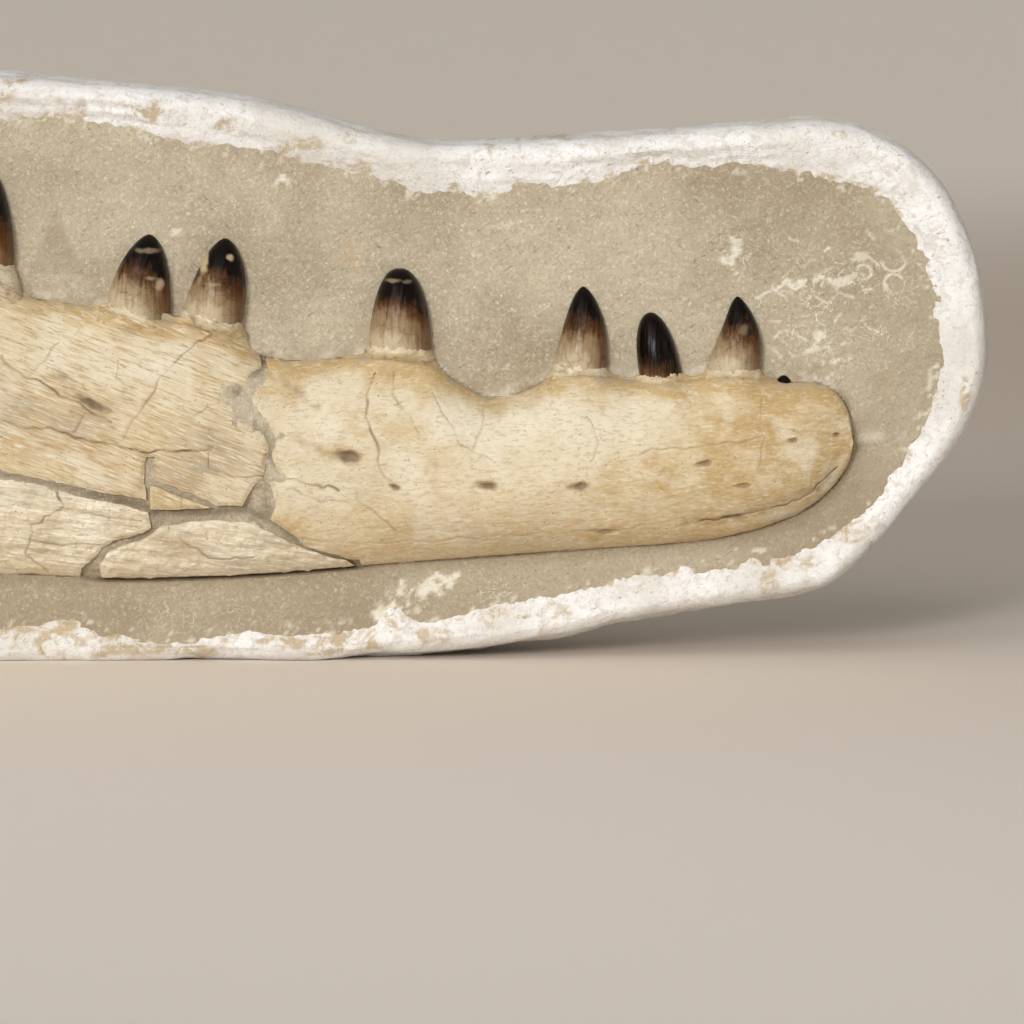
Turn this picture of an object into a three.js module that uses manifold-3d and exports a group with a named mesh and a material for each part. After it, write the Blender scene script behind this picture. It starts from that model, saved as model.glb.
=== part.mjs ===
// A mosasaur's lower jaw, right ramus seen from outside, still lying in its block of sediment.
// The block stands on edge in the plaster jacket that it was collected in.
// Millimetres. X runs along the jaw to its front tip, Z is up, and the fossil faces -Y.
import * as THREE from "three";
import { mergeVertices } from "three/addons/utils/BufferGeometryUtils.js";
import Module from "manifold-3d";

const wasm = await Module();
wasm.setup();

// Driving dimensions
const JACKET_DEPTH = 92; // from the face of the sediment to the back of the plaster
const JAW_RELIEF = 29; // how far the thickest bone stands out of the sediment
const RIM_PROUD = 6; // how far the crest of the rim stands out of the sediment
const RIM_WIDTH = 21; // from the widest line of the jacket in to the sediment, at its ends
const RIM_WIDTH_SWING = 4; // more than that along the top, and less along the bottom
const WALL = 13; // thickness of the plaster behind the rim
const GAP = 0.3; // between pieces that touch
const SEAM = 0.9; // width of a cut along a suture
const BONE_EDGE = 3; // thickness of a bone along its border
const CUT_REACH = 400; // how far a cutting tool reaches past the part
const MERGE_DISTANCE = 1e-4; // corners nearer than this are one corner

// The box round the whole part is centred on the origin front to back.
const BACK_Y = (JACKET_DEPTH + JAW_RELIEF + GAP) / 2;
const FACE_Y = BACK_Y - JACKET_DEPTH;
const BONE_BACK_Y = FACE_Y - GAP;

// Numbers of steps round the jacket, along the jaw, and across a bone or tooth
const JACKET_STEPS = 112;
const JAW_STEP = 9;
const BONE_STEPS = 9;
const CROWN_RINGS = 6;
const CROWN_STEPS = 7;

// The jacket's widest line, clockwise from its left end, as [x, z].
// It dips below the floor where the jacket is then cut flat to stand on.
const JACKET_LINE = [
  [-548, 150], [-538, 205], [-500, 246], [-430, 274], [-350, 298], [-260, 319],
  [-180, 329], [-100, 324], [-20, 309], [53, 295.5], [119, 289], [184, 280.5],
  [253, 263], [303, 261.5], [373, 265.5], [432, 270], [466, 271.5], [495, 263],
  [517, 247], [531, 228], [544, 194], [548, 168], [547, 143], [538, 117],
  [512, 80], [491, 56], [462, 33], [424, 25], [373, 17], [323, 6],
  [273, 0], [228, -5], [150, -6], [0, -6], [-200, -6], [-350, -6],
  [-430, 3], [-492, 36], [-533, 90],
];

// The jaw's upper and lower borders, from its back end to its front tip, as [x, z]
const JAW_TOP = [
  [-476, 116], [-455, 130], [-420, 140], [-392, 147], [-374, 141], [-355, 150],
  [-335, 168], [-290, 187], [-240, 203], [-214, 218], [-200, 262], [-186, 281],
  [-165, 277], [-135, 254], [-105, 234], [-78, 221], [-38, 209], [0, 200],
  [54, 187], [79, 180], [104, 178], [136, 172], [166, 164], [185, 153],
  [208, 151], [238, 153], [268, 150], [282, 140], [300, 132], [320, 138],
  [340, 145], [374, 141], [398, 142], [422, 145], [460, 140], [474, 131],
  [479, 112],
];
const JAW_BOTTOM = [
  [-476, 108], [-440, 92], [-390, 77], [-330, 61], [-250, 46], [-150, 36],
  [-64, 33], [0, 39], [52, 44], [113, 42], [178, 44], [253, 50],
  [333, 56], [403, 61], [428, 66], [445, 72], [459, 79], [469, 88],
  [476, 97], [479, 106],
];
// How far the bones stand out of the sediment along the jaw, as [x, share of JAW_RELIEF]
const RELIEF = [
  [-476, 0.35], [-430, 0.8], [-380, 0.95], [-300, 0.7], [-190, 0.55],
  [-80, 0.7], [60, 0.88], [200, 0.95], [300, 1], [400, 0.92], [450, 0.72], [479, 0.35],
];

// Sutures behind the tooth-bearing bone, where one bone meets the next, as [x, z]
const SPLENIAL_END = [[-66, 10], [-60, 60], [-68, 101]];
const DENTARY_END = [[-68, 101], [-86, 130], [-72, 160], [-84, 190], [-80, 240]];
const ANGULAR_TOP = [[-68, 101], [-150, 92], [-250, 86], [-350, 82]];
const CORONOID_FOOT = [[-84, 190], [-120, 186], [-165, 182], [-205, 196], [-224, 240]];
const ARTICULAR_FRONT = [[-350, 10], [-350, 82], [-362, 120], [-352, 180]];

// The ragged break across the middle of the jaw, bone by bone, as [x, z]
const FRONT_BREAK = [
  [233.5, 30], [233.5, 52], [221, 55], [206, 60.5], [199, 66.5], [189, 73.5],
  [192, 81.5], [188, 91.5], [196, 93.5], [190, 105], [191, 113], [188, 120],
  [181, 128], [180, 134], [188, 146], [186, 155], [186, 190],
];
const REAR_BREAK = [
  [183, 190], [183, 153], [184, 148], [179, 147], [178, 139], [168, 138],
  [167, 134], [177, 131], [174, 126], [177, 121], [185, 118], [188, 110],
  [187, 105], [187, 98.5], [186, 94], [181, 91.5], [178.5, 86], [176, 80.5],
  [163.5, 80.5], [158, 82.5], [149.5, 86.5], [133.5, 93.5], [131.5, 98.5], [132.5, 105.5],
  [127.5, 105.5], [126.5, 93.5], [127.5, 83.5], [105, 87.5], [85, 91.5], [55, 98.5], [0, 104],
];
const SPLINTER_LINE = [
  [129.5, 90.5], [134.5, 89.5], [143.5, 85.5], [159.5, 79.5], [144.5, 78.5], [129.5, 78.5],
];
const SPLENIAL_FRONT_LINE = [
  [103, 50.5], [109, 57], [115.5, 60], [124.5, 63], [130.5, 66.5], [136.5, 69.5],
  [150.5, 72.5], [181, 72.5], [185, 68.5], [191, 66.5], [201, 60.5], [214, 55],
  [226, 51.5], [230, 48.5], [229, 30], [105, 30],
];
const SPLENIAL_REAR_LINE = [
  [128.5, 77.5], [129.5, 69.5], [125.5, 66.5], [119.5, 64], [111, 63], [106, 59],
  [101, 53], [94, 47.5], [90, 30], [-66, 10], [-60, 60], [-68, 99],
  [0, 100], [55, 94.5], [80, 89.5], [105, 82.5],
];

// Teeth from the front tip backwards: where the crown starts, its size, and how far its tip leans
const TEETH = [
  { x: 445, z: 137, width: 6, height: 5, lean: 0 },
  { x: 419, z: 148, width: 27, height: 34, lean: 3 },
  { x: 383, z: 144, width: 21, height: 30, lean: -5 },
  { x: 343, z: 149, width: 26, height: 38, lean: 2 },
  { x: 253, z: 159, width: 31, height: 37, lean: 0 },
  { x: 160, z: 174, width: 27, height: 38, lean: 6 },
  { x: 123, z: 176, width: 30, height: 37, lean: 6 },
  { x: 45, z: 206, width: 32, height: 44, lean: 1 },
];
// The last teeth at the back, which grow smaller: spacing and the first one's size
const BACK_TEETH = { count: 3, x: 4, pitch: 34, width: 28, height: 37, shrink: 0.82 };
const BACK_TOOTH_LIFT = 5; // from the jaw's upper border up to a back crown
const ROOT_DEPTH = 15; // how deep a root goes into the bone
const ROOT_WIDTH = 0.86; // root's width at its end, as a share of the crown's
const CROWN_RELIEF = 0.6; // how far a crown stands out, as a share of its width
const CROWN_TAPER = 0.6; // a lower power makes a blunter crown
const BLUNT_TIP = 0.985; // share of the height where the crown's tip is cut blunt
const TOOTH_INSET = 0.4; // tooth's flat back lies this far in front of the bone's

// A smooth curve through [x, value] rows, read at one x
function valueAt(rows, x) {
  const last = rows.length - 1;
  let i = 0;
  while (i < last - 1 && x > rows[i + 1][0]) {
    i += 1;
  }
  const slope = (k) => {
    const a = rows[Math.max(k - 1, 0)];
    const b = rows[Math.min(k + 1, last)];
    return (b[1] - a[1]) / (b[0] - a[0]);
  };
  const [x0, v0] = rows[i];
  const [x1, v1] = rows[i + 1];
  const span = x1 - x0;
  const t = (x - x0) / span;
  const t2 = t * t;
  const t3 = t2 * t;
  const hold = (2 * t3 - 3 * t2 + 1) * v0 + (3 * t2 - 2 * t3) * v1;
  return hold + (t3 - 2 * t2 + t) * span * slope(i) + (t3 - t2) * span * slope(i + 1);
}

// A closed skin over rings that have the same number of points, with both ends capped.
// flat(point) gives the two coordinates that the caps are triangulated in.
function skin(rings, flat) {
  const count = rings[0].length;
  const index = [];
  for (let r = 0; r < rings.length - 1; r += 1) {
    for (let k = 0; k < count; k += 1) {
      const a = r * count + k;
      const b = r * count + ((k + 1) % count);
      index.push(a, b, a + count);
      index.push(b, b + count, a + count);
    }
  }
  const cap = (ring, offset, turned) => {
    const faces = THREE.ShapeUtils.triangulateShape(ring.map(flat), []);
    for (const [a, b, c] of faces) {
      index.push(offset + a, offset + (turned ? c : b), offset + (turned ? b : c));
    }
  };
  const first = rings[0].map(flat);
  const clockwise = THREE.ShapeUtils.area(first) < 0;
  cap(rings[0], 0, !clockwise);
  cap(rings.at(-1), (rings.length - 1) * count, clockwise);
  const geometry = new THREE.BufferGeometry().setFromPoints(rings.flat());
  geometry.setIndex(index);
  return geometry;
}

// A closed geometry as a solid whose faces point outwards
function toSolid(geometry) {
  const bare = geometry.clone();
  bare.deleteAttribute("normal");
  bare.deleteAttribute("uv");
  const merged = mergeVertices(bare, MERGE_DISTANCE);
  const vertProperties = new Float32Array(merged.attributes.position.array);
  const triVerts = new Uint32Array(merged.index.array);
  const solid = new wasm.Manifold(new wasm.Mesh({ numProp: 3, vertProperties, triVerts }));
  if (solid.volume() > 0) {
    return solid;
  }
  triVerts.reverse();
  return new wasm.Manifold(new wasm.Mesh({ numProp: 3, vertProperties, triVerts }));
}

function toGeometry(solid) {
  const mesh = solid.getMesh();
  const geometry = new THREE.BufferGeometry();
  geometry.setAttribute("position", new THREE.BufferAttribute(mesh.vertProperties, 3));
  geometry.setIndex(new THREE.BufferAttribute(mesh.triVerts, 1));
  geometry.computeVertexNormals();
  return geometry;
}

// The largest closed body of a solid that cuts may have left in several
function largest(solid) {
  const bodies = solid.decompose();
  bodies.sort((a, b) => b.volume() - a.volume());
  return bodies[0];
}

// A block that stands through the whole depth of the part, over an outline in X and Z
function prism(outline) {
  const shape = new THREE.Shape(outline.map(([x, z]) => new THREE.Vector2(x, z)));
  const block = new THREE.ExtrudeGeometry(shape, { depth: 2 * CUT_REACH, bevelEnabled: false });
  block.rotateX(Math.PI / 2);
  block.translate(0, CUT_REACH, 0);
  return toSolid(block);
}

// A thin cut that follows a line in X and Z
function thinCut(line) {
  let cut = null;
  for (let i = 0; i < line.length - 1; i += 1) {
    const [x0, z0] = line[i];
    const [x1, z1] = line[i + 1];
    const length = Math.hypot(x1 - x0, z1 - z0) + SEAM;
    const blade = new THREE.BoxGeometry(length, 2 * CUT_REACH, SEAM);
    blade.rotateY(-Math.atan2(z1 - z0, x1 - x0));
    blade.translate((x0 + x1) / 2, 0, (z0 + z1) / 2);
    cut = cut ? cut.add(toSolid(blade)) : toSolid(blade);
  }
  return cut;
}

// The jacket's widest line as evenly spaced points, each with the direction straight out of it
function jacketLine() {
  const corners = JACKET_LINE.map(([x, z]) => new THREE.Vector3(x, 0, z));
  const curve = new THREE.CatmullRomCurve3(corners, true, "centripetal");
  const points = curve.getSpacedPoints(JACKET_STEPS).slice(0, JACKET_STEPS);
  return points.map((point, i) => {
    const before = points[(i + JACKET_STEPS - 1) % JACKET_STEPS];
    const after = points[(i + 1) % JACKET_STEPS];
    const along = after.clone().sub(before).normalize();
    const out = new THREE.Vector3(-along.z, 0, along.x);
    return { point, out };
  });
}

const LINE = jacketLine();

// A ring parallel to the jacket's widest line: inset from it, and depth behind the sediment's face.
// share is the part of the rim's own width that is added to the inset.
function ring(inset, share, depth) {
  return LINE.map(({ point, out }) => {
    const rim = RIM_WIDTH + RIM_WIDTH_SWING * out.z;
    const inward = inset + share * rim;
    return new THREE.Vector3(point.x - out.x * inward, FACE_Y + depth, point.z - out.z * inward);
  });
}

const flatXZ = (p) => new THREE.Vector2(p.x, p.z);
const flatXY = (p) => new THREE.Vector2(p.x, p.y);
const flatYZ = (p) => new THREE.Vector2(p.y, p.z);

// The block of sediment widens behind the rim. grow is added all round for the hollow it lies in.
function sedimentRings(grow) {
  return [
    ring(-grow, 1, -3 * grow),
    ring(-grow, 1, 7),
    ring(WALL - grow, 0, 26),
    ring(WALL + 1 - grow, 0, 58),
    ring(WALL + 12 - grow, 0, JACKET_DEPTH - WALL + grow),
  ];
}

function makeSediment() {
  return toSolid(skin(sedimentRings(0), flatXZ));
}

function makeJacket() {
  const shell = [
    ring(0, 1, 0),
    ring(0, 0.72, -0.8 * RIM_PROUD),
    ring(2, 0.5, -RIM_PROUD),
    ring(8, 0, -0.5 * RIM_PROUD),
    ring(3.5, 0, 6),
    ring(0, 0, 24),
    ring(1, 0, 46),
    ring(8, 0, 70),
    ring(20, 0, 86),
    ring(44, 0, JACKET_DEPTH),
  ];
  const hollow = toSolid(skin(sedimentRings(GAP), flatXZ));
  const floor = new THREE.BoxGeometry(4 * CUT_REACH, 4 * CUT_REACH, CUT_REACH);
  floor.translate(0, 0, -CUT_REACH / 2);
  return largest(toSolid(skin(shell, flatXZ)).subtract(hollow).subtract(toSolid(floor)));
}

// The whole jaw as one relief: flat behind, domed in front, thin along its borders
function makeJaw() {
  const start = JAW_TOP[0][0];
  const end = JAW_TOP.at(-1)[0];
  const count = Math.round((end - start) / JAW_STEP);
  const sections = [];
  for (let i = 0; i <= count; i += 1) {
    // Stations crowd together towards the round front tip.
    const x = start + (end - start) * Math.sin((i / count) * 0.5 * Math.PI) ** 0.9;
    const top = valueAt(JAW_TOP, x);
    const bottom = valueAt(JAW_BOTTOM, x);
    const relief = JAW_RELIEF * valueAt(RELIEF, x);
    const section = [new THREE.Vector3(x, BONE_BACK_Y, bottom)];
    for (let k = 0; k <= BONE_STEPS; k += 1) {
      const across = -Math.cos((k / BONE_STEPS) * Math.PI);
      const swell = (1 - Math.abs(across) ** 2.4) ** 0.6;
      const out = BONE_EDGE + (relief - BONE_EDGE) * swell;
      const z = (top + bottom) / 2 + (across * (top - bottom)) / 2;
      section.push(new THREE.Vector3(x, BONE_BACK_Y - out, z));
    }
    section.push(new THREE.Vector3(x, BONE_BACK_Y, top));
    sections.push(section);
  }
  return toSolid(skin(sections, flatYZ));
}

// One tooth: a flat-backed crown that narrows to its tip, on a root that runs down into the bone
function makeTooth({ x, z, width, height, lean }) {
  const levels = [{ rise: -ROOT_DEPTH, share: ROOT_WIDTH, shift: 0 }];
  for (let i = 0; i <= CROWN_RINGS; i += 1) {
    const t = BLUNT_TIP * Math.sin((i / CROWN_RINGS) * 0.5 * Math.PI);
    levels.push({ rise: height * t, share: (1 - t * t) ** CROWN_TAPER, shift: lean * t });
  }
  const back = BONE_BACK_Y - TOOTH_INSET;
  const rings = levels.map(({ rise, share, shift }) => {
    const points = [];
    for (let k = 0; k <= CROWN_STEPS; k += 1) {
      const angle = (k / CROWN_STEPS) * Math.PI;
      const side = x + shift + 0.5 * width * share * Math.cos(angle);
      const out = CROWN_RELIEF * width * share * Math.sin(angle);
      points.push(new THREE.Vector3(side, back - out, z + rise));
    }
    return points;
  });
  return toSolid(skin(rings, flatXY));
}

function backTeeth() {
  const teeth = [];
  for (let i = 0; i < BACK_TEETH.count; i += 1) {
    const x = BACK_TEETH.x - i * BACK_TEETH.pitch;
    const size = BACK_TEETH.shrink ** i;
    teeth.push({
      x,
      z: valueAt(JAW_TOP, x) + BACK_TOOTH_LIFT,
      width: BACK_TEETH.width * size,
      height: BACK_TEETH.height * size,
      lean: -2 - i,
    });
  }
  return teeth;
}

const JAW = makeJaw();
const SUTURES = [SPLENIAL_END, DENTARY_END, ANGULAR_TOP, CORONOID_FOOT, ARTICULAR_FRONT]
  .map(thinCut)
  .reduce((all, cut) => all.add(cut));

// One bone: the stretch of the jaw inside an outline, parted from its neighbours
function makeBone(outline) {
  return largest(JAW.intersect(prism(outline)).subtract(SUTURES));
}

function withTeeth(bone, teeth) {
  return largest(teeth.reduce((all, tooth) => all.add(makeTooth(tooth)), bone));
}

const MATERIALS = {
  plaster: new THREE.MeshStandardMaterial({ color: 0xf0ece4, roughness: 0.95, metalness: 0 }),
  sediment: new THREE.MeshStandardMaterial({ color: 0xb7aa95, roughness: 1, metalness: 0 }),
  bone: new THREE.MeshStandardMaterial({ color: 0xdfcb9c, roughness: 0.6, metalness: 0 }),
  paleBone: new THREE.MeshStandardMaterial({ color: 0xe6dcc0, roughness: 0.7, metalness: 0 }),
};

const part = new THREE.Group();
part.name = "mosasaur_jaw";

function addNode(name, solid, material) {
  const mesh = new THREE.Mesh(toGeometry(solid), material);
  mesh.name = name;
  part.add(mesh);
}

const MID_X = 183; // the break across the jaw, between the front and rear teeth
const REAR_X = DENTARY_END.at(-1)[0]; // where the tooth-bearing bone ends behind
const CORONOID_X = CORONOID_FOOT.at(-1)[0]; // where the coronoid ends behind
const PAST = { front: 490, back: -600, top: 300, bottom: 10 }; // outside the whole jaw
const frontTeeth = TEETH.filter((tooth) => tooth.x > MID_X);
const rearTeeth = [...TEETH.filter((tooth) => tooth.x < MID_X), ...backTeeth()];

addNode("jacket", makeJacket(), MATERIALS.plaster);
addNode("sediment", makeSediment(), MATERIALS.sediment);

const frontOutline = [...FRONT_BREAK, [PAST.front, PAST.top], [PAST.front, PAST.bottom]];
addNode("dentary_front", withTeeth(makeBone(frontOutline), frontTeeth), MATERIALS.bone);

const rearOutline = [...REAR_BREAK, ...DENTARY_END, [REAR_X, PAST.top], [MID_X, PAST.top]];
addNode("dentary_rear", withTeeth(makeBone(rearOutline), rearTeeth), MATERIALS.bone);

addNode("dentary_splinter", makeBone(SPLINTER_LINE), MATERIALS.bone);
addNode("splenial_front", makeBone(SPLENIAL_FRONT_LINE), MATERIALS.paleBone);
addNode("splenial_rear", makeBone(SPLENIAL_REAR_LINE), MATERIALS.paleBone);

const angularOutline = [...SPLENIAL_END, ...ANGULAR_TOP.slice(1), ARTICULAR_FRONT[0]];
addNode("angular", makeBone(angularOutline), MATERIALS.bone);

const surangularOutline = [
  ...DENTARY_END.slice(0, 4),
  ...CORONOID_FOOT.slice(1),
  [ARTICULAR_FRONT.at(-1)[0], PAST.top],
  ...ARTICULAR_FRONT.slice(1).reverse(),
  ...ANGULAR_TOP.slice(1, 3).reverse(),
];
addNode("surangular", makeBone(surangularOutline), MATERIALS.bone);

const coronoidOutline = [...CORONOID_FOOT, [CORONOID_X, PAST.top], [REAR_X, PAST.top]];
addNode("coronoid", makeBone(coronoidOutline), MATERIALS.bone);

const articularOutline = [...ARTICULAR_FRONT, [PAST.back, PAST.top], [PAST.back, PAST.bottom]];
addNode("articular", makeBone(articularOutline), MATERIALS.bone);

export default part;
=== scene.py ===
"""A mosasaur's lower jaw in relief on its block of sediment, in a standing plaster jacket.

Shapes are worked out in millimetres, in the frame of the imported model: X runs along the jaw to its
front tip, Z is up and the fossil faces -Y. Meshes are written in metres.
"""
import logging
import math
from dataclasses import dataclass, field
from enum import Enum

import bpy
import numpy as np
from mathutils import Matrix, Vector


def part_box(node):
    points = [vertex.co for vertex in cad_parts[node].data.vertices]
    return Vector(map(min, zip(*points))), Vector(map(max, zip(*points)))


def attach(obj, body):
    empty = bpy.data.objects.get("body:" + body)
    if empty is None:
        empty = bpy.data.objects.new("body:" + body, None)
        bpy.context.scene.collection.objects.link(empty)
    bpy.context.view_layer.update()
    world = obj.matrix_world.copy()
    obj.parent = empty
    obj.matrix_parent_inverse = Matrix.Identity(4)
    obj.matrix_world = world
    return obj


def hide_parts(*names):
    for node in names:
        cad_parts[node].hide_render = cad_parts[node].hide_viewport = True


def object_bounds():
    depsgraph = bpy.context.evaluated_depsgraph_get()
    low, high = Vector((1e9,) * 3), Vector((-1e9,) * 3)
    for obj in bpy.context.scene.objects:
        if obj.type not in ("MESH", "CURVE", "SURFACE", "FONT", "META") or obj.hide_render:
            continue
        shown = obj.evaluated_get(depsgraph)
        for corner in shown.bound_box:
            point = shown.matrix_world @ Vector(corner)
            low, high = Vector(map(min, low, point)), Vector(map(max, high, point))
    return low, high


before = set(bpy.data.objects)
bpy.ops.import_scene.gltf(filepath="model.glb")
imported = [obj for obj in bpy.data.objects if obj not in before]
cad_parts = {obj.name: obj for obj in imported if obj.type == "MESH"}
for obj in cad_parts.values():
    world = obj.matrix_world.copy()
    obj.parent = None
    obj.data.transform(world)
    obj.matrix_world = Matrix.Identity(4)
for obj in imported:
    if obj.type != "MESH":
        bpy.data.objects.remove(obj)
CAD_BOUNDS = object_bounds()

LOG = logging.getLogger("mosasaur_jaw")
MM = 0.001

Colour = tuple[float, float, float]
Place = tuple[float, float, float]
Line = list[tuple[float, float]]
Crack = tuple[float, Line]
Spot = tuple[float, ...]
Socket = bpy.types.NodeSocket

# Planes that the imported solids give, in millimetres
FACE_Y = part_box("sediment")[0][1] / MM
BACK_LIMIT_Y = CAD_BOUNDS[1][1] / MM

# The jaw's upper and lower borders from its back end to its front tip, as (x, z)
JAW_TOP: Line = [
    (-476, 116), (-455, 130), (-420, 140), (-392, 147), (-374, 141), (-355, 150),
    (-335, 168), (-290, 187), (-240, 203), (-214, 218), (-200, 262), (-186, 281),
    (-165, 277), (-135, 254), (-105, 234), (-78, 221), (-38, 209), (0, 200),
    (54, 187), (79, 180), (104, 178), (136, 172), (166, 164), (185, 153),
    (208, 151), (238, 153), (268, 150), (282, 140), (300, 132), (320, 138),
    (340, 145), (374, 141), (398, 142), (420, 144.5), (436, 141.5), (448, 140.3),
    (461, 139.5), (471, 134.5), (477, 125), (479, 112),
]
JAW_BOTTOM: Line = [
    (-476, 108), (-440, 92), (-390, 77), (-330, 61), (-250, 46), (-150, 36),
    (-64, 33), (0, 39), (52, 44), (113, 42), (178, 44), (253, 50),
    (333, 56), (403, 61), (428, 66), (445, 72), (459, 79), (467, 86),
    (473, 93), (477, 100), (478.5, 105), (479, 109),
]
# How far the bones stand out of the sediment along the jaw, as (x, millimetres)
JAW_RELIEF: Line = [
    (-476, 10), (-430, 23), (-380, 27), (-300, 20), (-190, 15.5), (-80, 20),
    (60, 25), (200, 27), (300, 28.4), (400, 26), (450, 20.5), (479, 10),
]

# Sutures and breaks where one bone ends, as (x, z)
SPLENIAL_END: Line = [(-66, 10), (-60, 60), (-68, 101)]
DENTARY_END: Line = [(-68, 101), (-86, 130), (-72, 160), (-84, 190), (-80, 240)]
ANGULAR_TOP: Line = [(-68, 101), (-150, 92), (-250, 86), (-350, 82)]
CORONOID_FOOT: Line = [(-84, 190), (-120, 186), (-165, 182), (-205, 196), (-224, 240)]
ARTICULAR_FRONT: Line = [(-350, 10), (-350, 82), (-362, 120), (-352, 180)]
FRONT_BREAK: Line = [
    (233.5, 30), (233.5, 52), (221, 55), (206, 60.5), (199, 66.5), (189, 73.5),
    (192, 81.5), (188, 91.5), (196, 93.5), (190, 105), (191, 113), (188, 120),
    (181, 128), (180, 134), (188, 146), (186, 155), (186, 190),
]
REAR_BREAK: Line = [
    (183, 190), (183, 153), (184, 148), (179, 147), (178, 139), (168, 138),
    (167, 134), (177, 131), (174, 126), (177, 121), (185, 118), (188, 110),
    (187, 105), (187, 98.5), (186, 94), (181, 91.5), (178.5, 86), (176, 80.5),
    (163.5, 80.5), (158, 82.5), (149.5, 86.5), (133.5, 93.5), (131.5, 98.5), (132.5, 105.5),
    (127.5, 105.5), (126.5, 93.5), (127.5, 83.5), (105, 87.5), (85, 91.5), (55, 98.5), (0, 104),
]
SPLINTER_LINE: Line = [
    (129.5, 90.5), (134.5, 89.5), (143.5, 85.5), (159.5, 79.5), (144.5, 78.5), (129.5, 78.5),
]
SPLENIAL_FRONT_LINE: Line = [
    (103, 50.5), (109, 57), (115.5, 60), (124.5, 63), (130.5, 66.5), (136.5, 69.5),
    (150.5, 72.5), (181, 72.5), (185, 68.5), (191, 66.5), (201, 60.5), (214, 55),
    (226, 51.5), (230, 48.5), (229, 30), (105, 30),
]
SPLENIAL_REAR_LINE: Line = [
    (128.5, 77.5), (129.5, 69.5), (125.5, 66.5), (119.5, 64), (111, 63), (106, 59),
    (101, 53), (94, 47.5), (90, 30), (-66, 10), (-60, 60), (-68, 99),
    (0, 100), (55, 94.5), (80, 89.5), (105, 82.5),
]
# The jacket's widest line, clockwise from its left end, and the plaster's ragged inner border
JACKET_LINE: Line = [
    (-548, 150), (-538, 205), (-500, 246), (-430, 274), (-350, 298), (-260, 319),
    (-180, 329), (-100, 324), (-20, 309), (53, 295.5), (119, 289), (184, 280.5),
    (253, 263), (303, 261.5), (373, 265.5), (432, 270), (466, 271.5), (495, 263),
    (517, 247), (531, 228), (544, 194), (548, 168), (547, 143), (538, 117),
    (512, 80), (491, 56), (462, 33), (424, 25), (373, 17), (323, 6),
    (273, 0), (228, -5), (150, -6), (0, -6), (-200, -6), (-350, -6),
    (-430, 3), (-492, 36), (-533, 90),
]
PLASTER_LINE: Line = [
    (-526, 150), (-519, 194), (-488, 228), (-424, 254), (-350, 277), (-260, 297),
    (-180, 306), (-100, 301), (-20, 285), (20, 277), (55, 272), (72, 272), (90, 270), (105, 270),
    (120, 268), (137, 262), (154, 258), (174, 256), (189, 256), (204, 251), (224, 248), (236, 246),
    (246, 242), (255, 239), (259, 235), (268, 236), (281, 238), (293, 233), (313, 236), (333, 237),
    (353, 242), (365, 244), (370, 248), (383, 252), (408, 248), (432, 249), (445, 246), (467, 242),
    (487, 237), (497, 232), (502, 223), (510, 212), (515, 200), (518, 188), (521, 176), (522, 156),
    (520, 136), (513, 116), (506, 101), (498, 91), (493, 81), (486, 73), (468, 62), (448, 52),
    (428, 55), (418, 53), (411, 48), (393, 48), (388, 43), (373, 43), (356, 39), (343, 34),
    (331, 31), (313, 29), (293, 26), (283, 22), (268, 20), (258, 23), (251, 29), (243, 25),
    (242, 19), (223, 15), (203, 14), (178, 15), (153, 12), (103, 12), (90, 20), (83, 20),
    (73, 16), (53, 14), (-60, 12), (-200, 14), (-340, 13), (-412, 20), (-468, 52), (-510, 100),
]
# The jacket's side and back, as (how far in from its widest line, how deep behind the face)
JACKET_SIDE: Line = [
    (1.0, 10), (0.4, 15), (0, 20), (0, 26), (0.1, 33), (0.5, 40), (1.2, 46), (2.4, 53),
    (4.3, 60), (6.6, 66), (9.5, 72), (13.5, 78), (18, 83), (24, 87), (31, 89.4), (39, 90.4),
    (52, 90.8), (66, 91),
]
# Places outside the whole jaw
PAST_TOP = 300
PAST_BOTTOM = 10
PAST_TIP = 490
PAST_BACK = -600

# The photo shows the part from here on, along x, and the bones' mesh is coarser elsewhere
SHOWN_FROM = 50
COARSE_STEP = 2.2

# How far the bones stand out at their borders and, on average, in their middle
BONE_EDGE = 3.0
MIDDLE_RELIEF = 25.0
# The plane of the bones' backs, inside the sediment
BONE_ROOT_Y = FACE_Y + 2.5
# The share of the solids' relief that the bones reach, so that their lumps stay inside it
JAW_FLATTEN = 0.985
# Lines along which matrix fills the gaps between the bones
BREAKS = [FRONT_BREAK, REAR_BREAK, SPLINTER_LINE, SPLENIAL_FRONT_LINE, SPLENIAL_REAR_LINE]

# The line between the rear tooth bone and the splenials, along which the sediment is painted dark as
# painted shade under the tooth bone's edge
SEAM: Line = [
    (-68, 100), (0, 102), (55, 96.5), (85, 90.5), (105, 85), (127, 80), (130, 77), (160, 77),
    (178, 78.5), (190, 72), (202, 63),
]

# The break between the two tooth bones, along which the sediment is painted dark as painted shade
BREAK_MIDDLE: Line = [
    (185, 150), (173, 136), (176, 127), (186, 113), (190, 101), (188, 92), (183, 84), (189, 76),
]

# Openings for nerves, as they are drawn on the sediment's face: x, z, half width and height, slope
FORAMINA = [
    (229, 102.5, 8.5, 3.6, -0.12), (251.5, 87, 3.4, 2.0, -0.4), (298, 88, 6.5, 2.6, -0.15),
    (344, 88, 6.5, 2.6, 0.1), (406, 99, 4.8, 1.9, 0.12), (425.5, 88, 4.8, 1.4, 0.1),
    (450.5, 110.5, 3.0, 1.8, 0.15), (472, 112.5, 1.8, 1.2, 0), (357, 64.5, 9, 1.4, 0),
    (420.5, 72, 8, 1.2, 0.1),
]
REAR_PITS = [
    (101, 128, 9, 2.6, -0.5), (126.5, 76.5, 2.4, 1.6, 0), (159.5, 75, 2.4, 1.6, 0),
    (173, 132.5, 3.4, 2.2, 0), (180, 122, 4.5, 1.8, -0.6),
]
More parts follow.
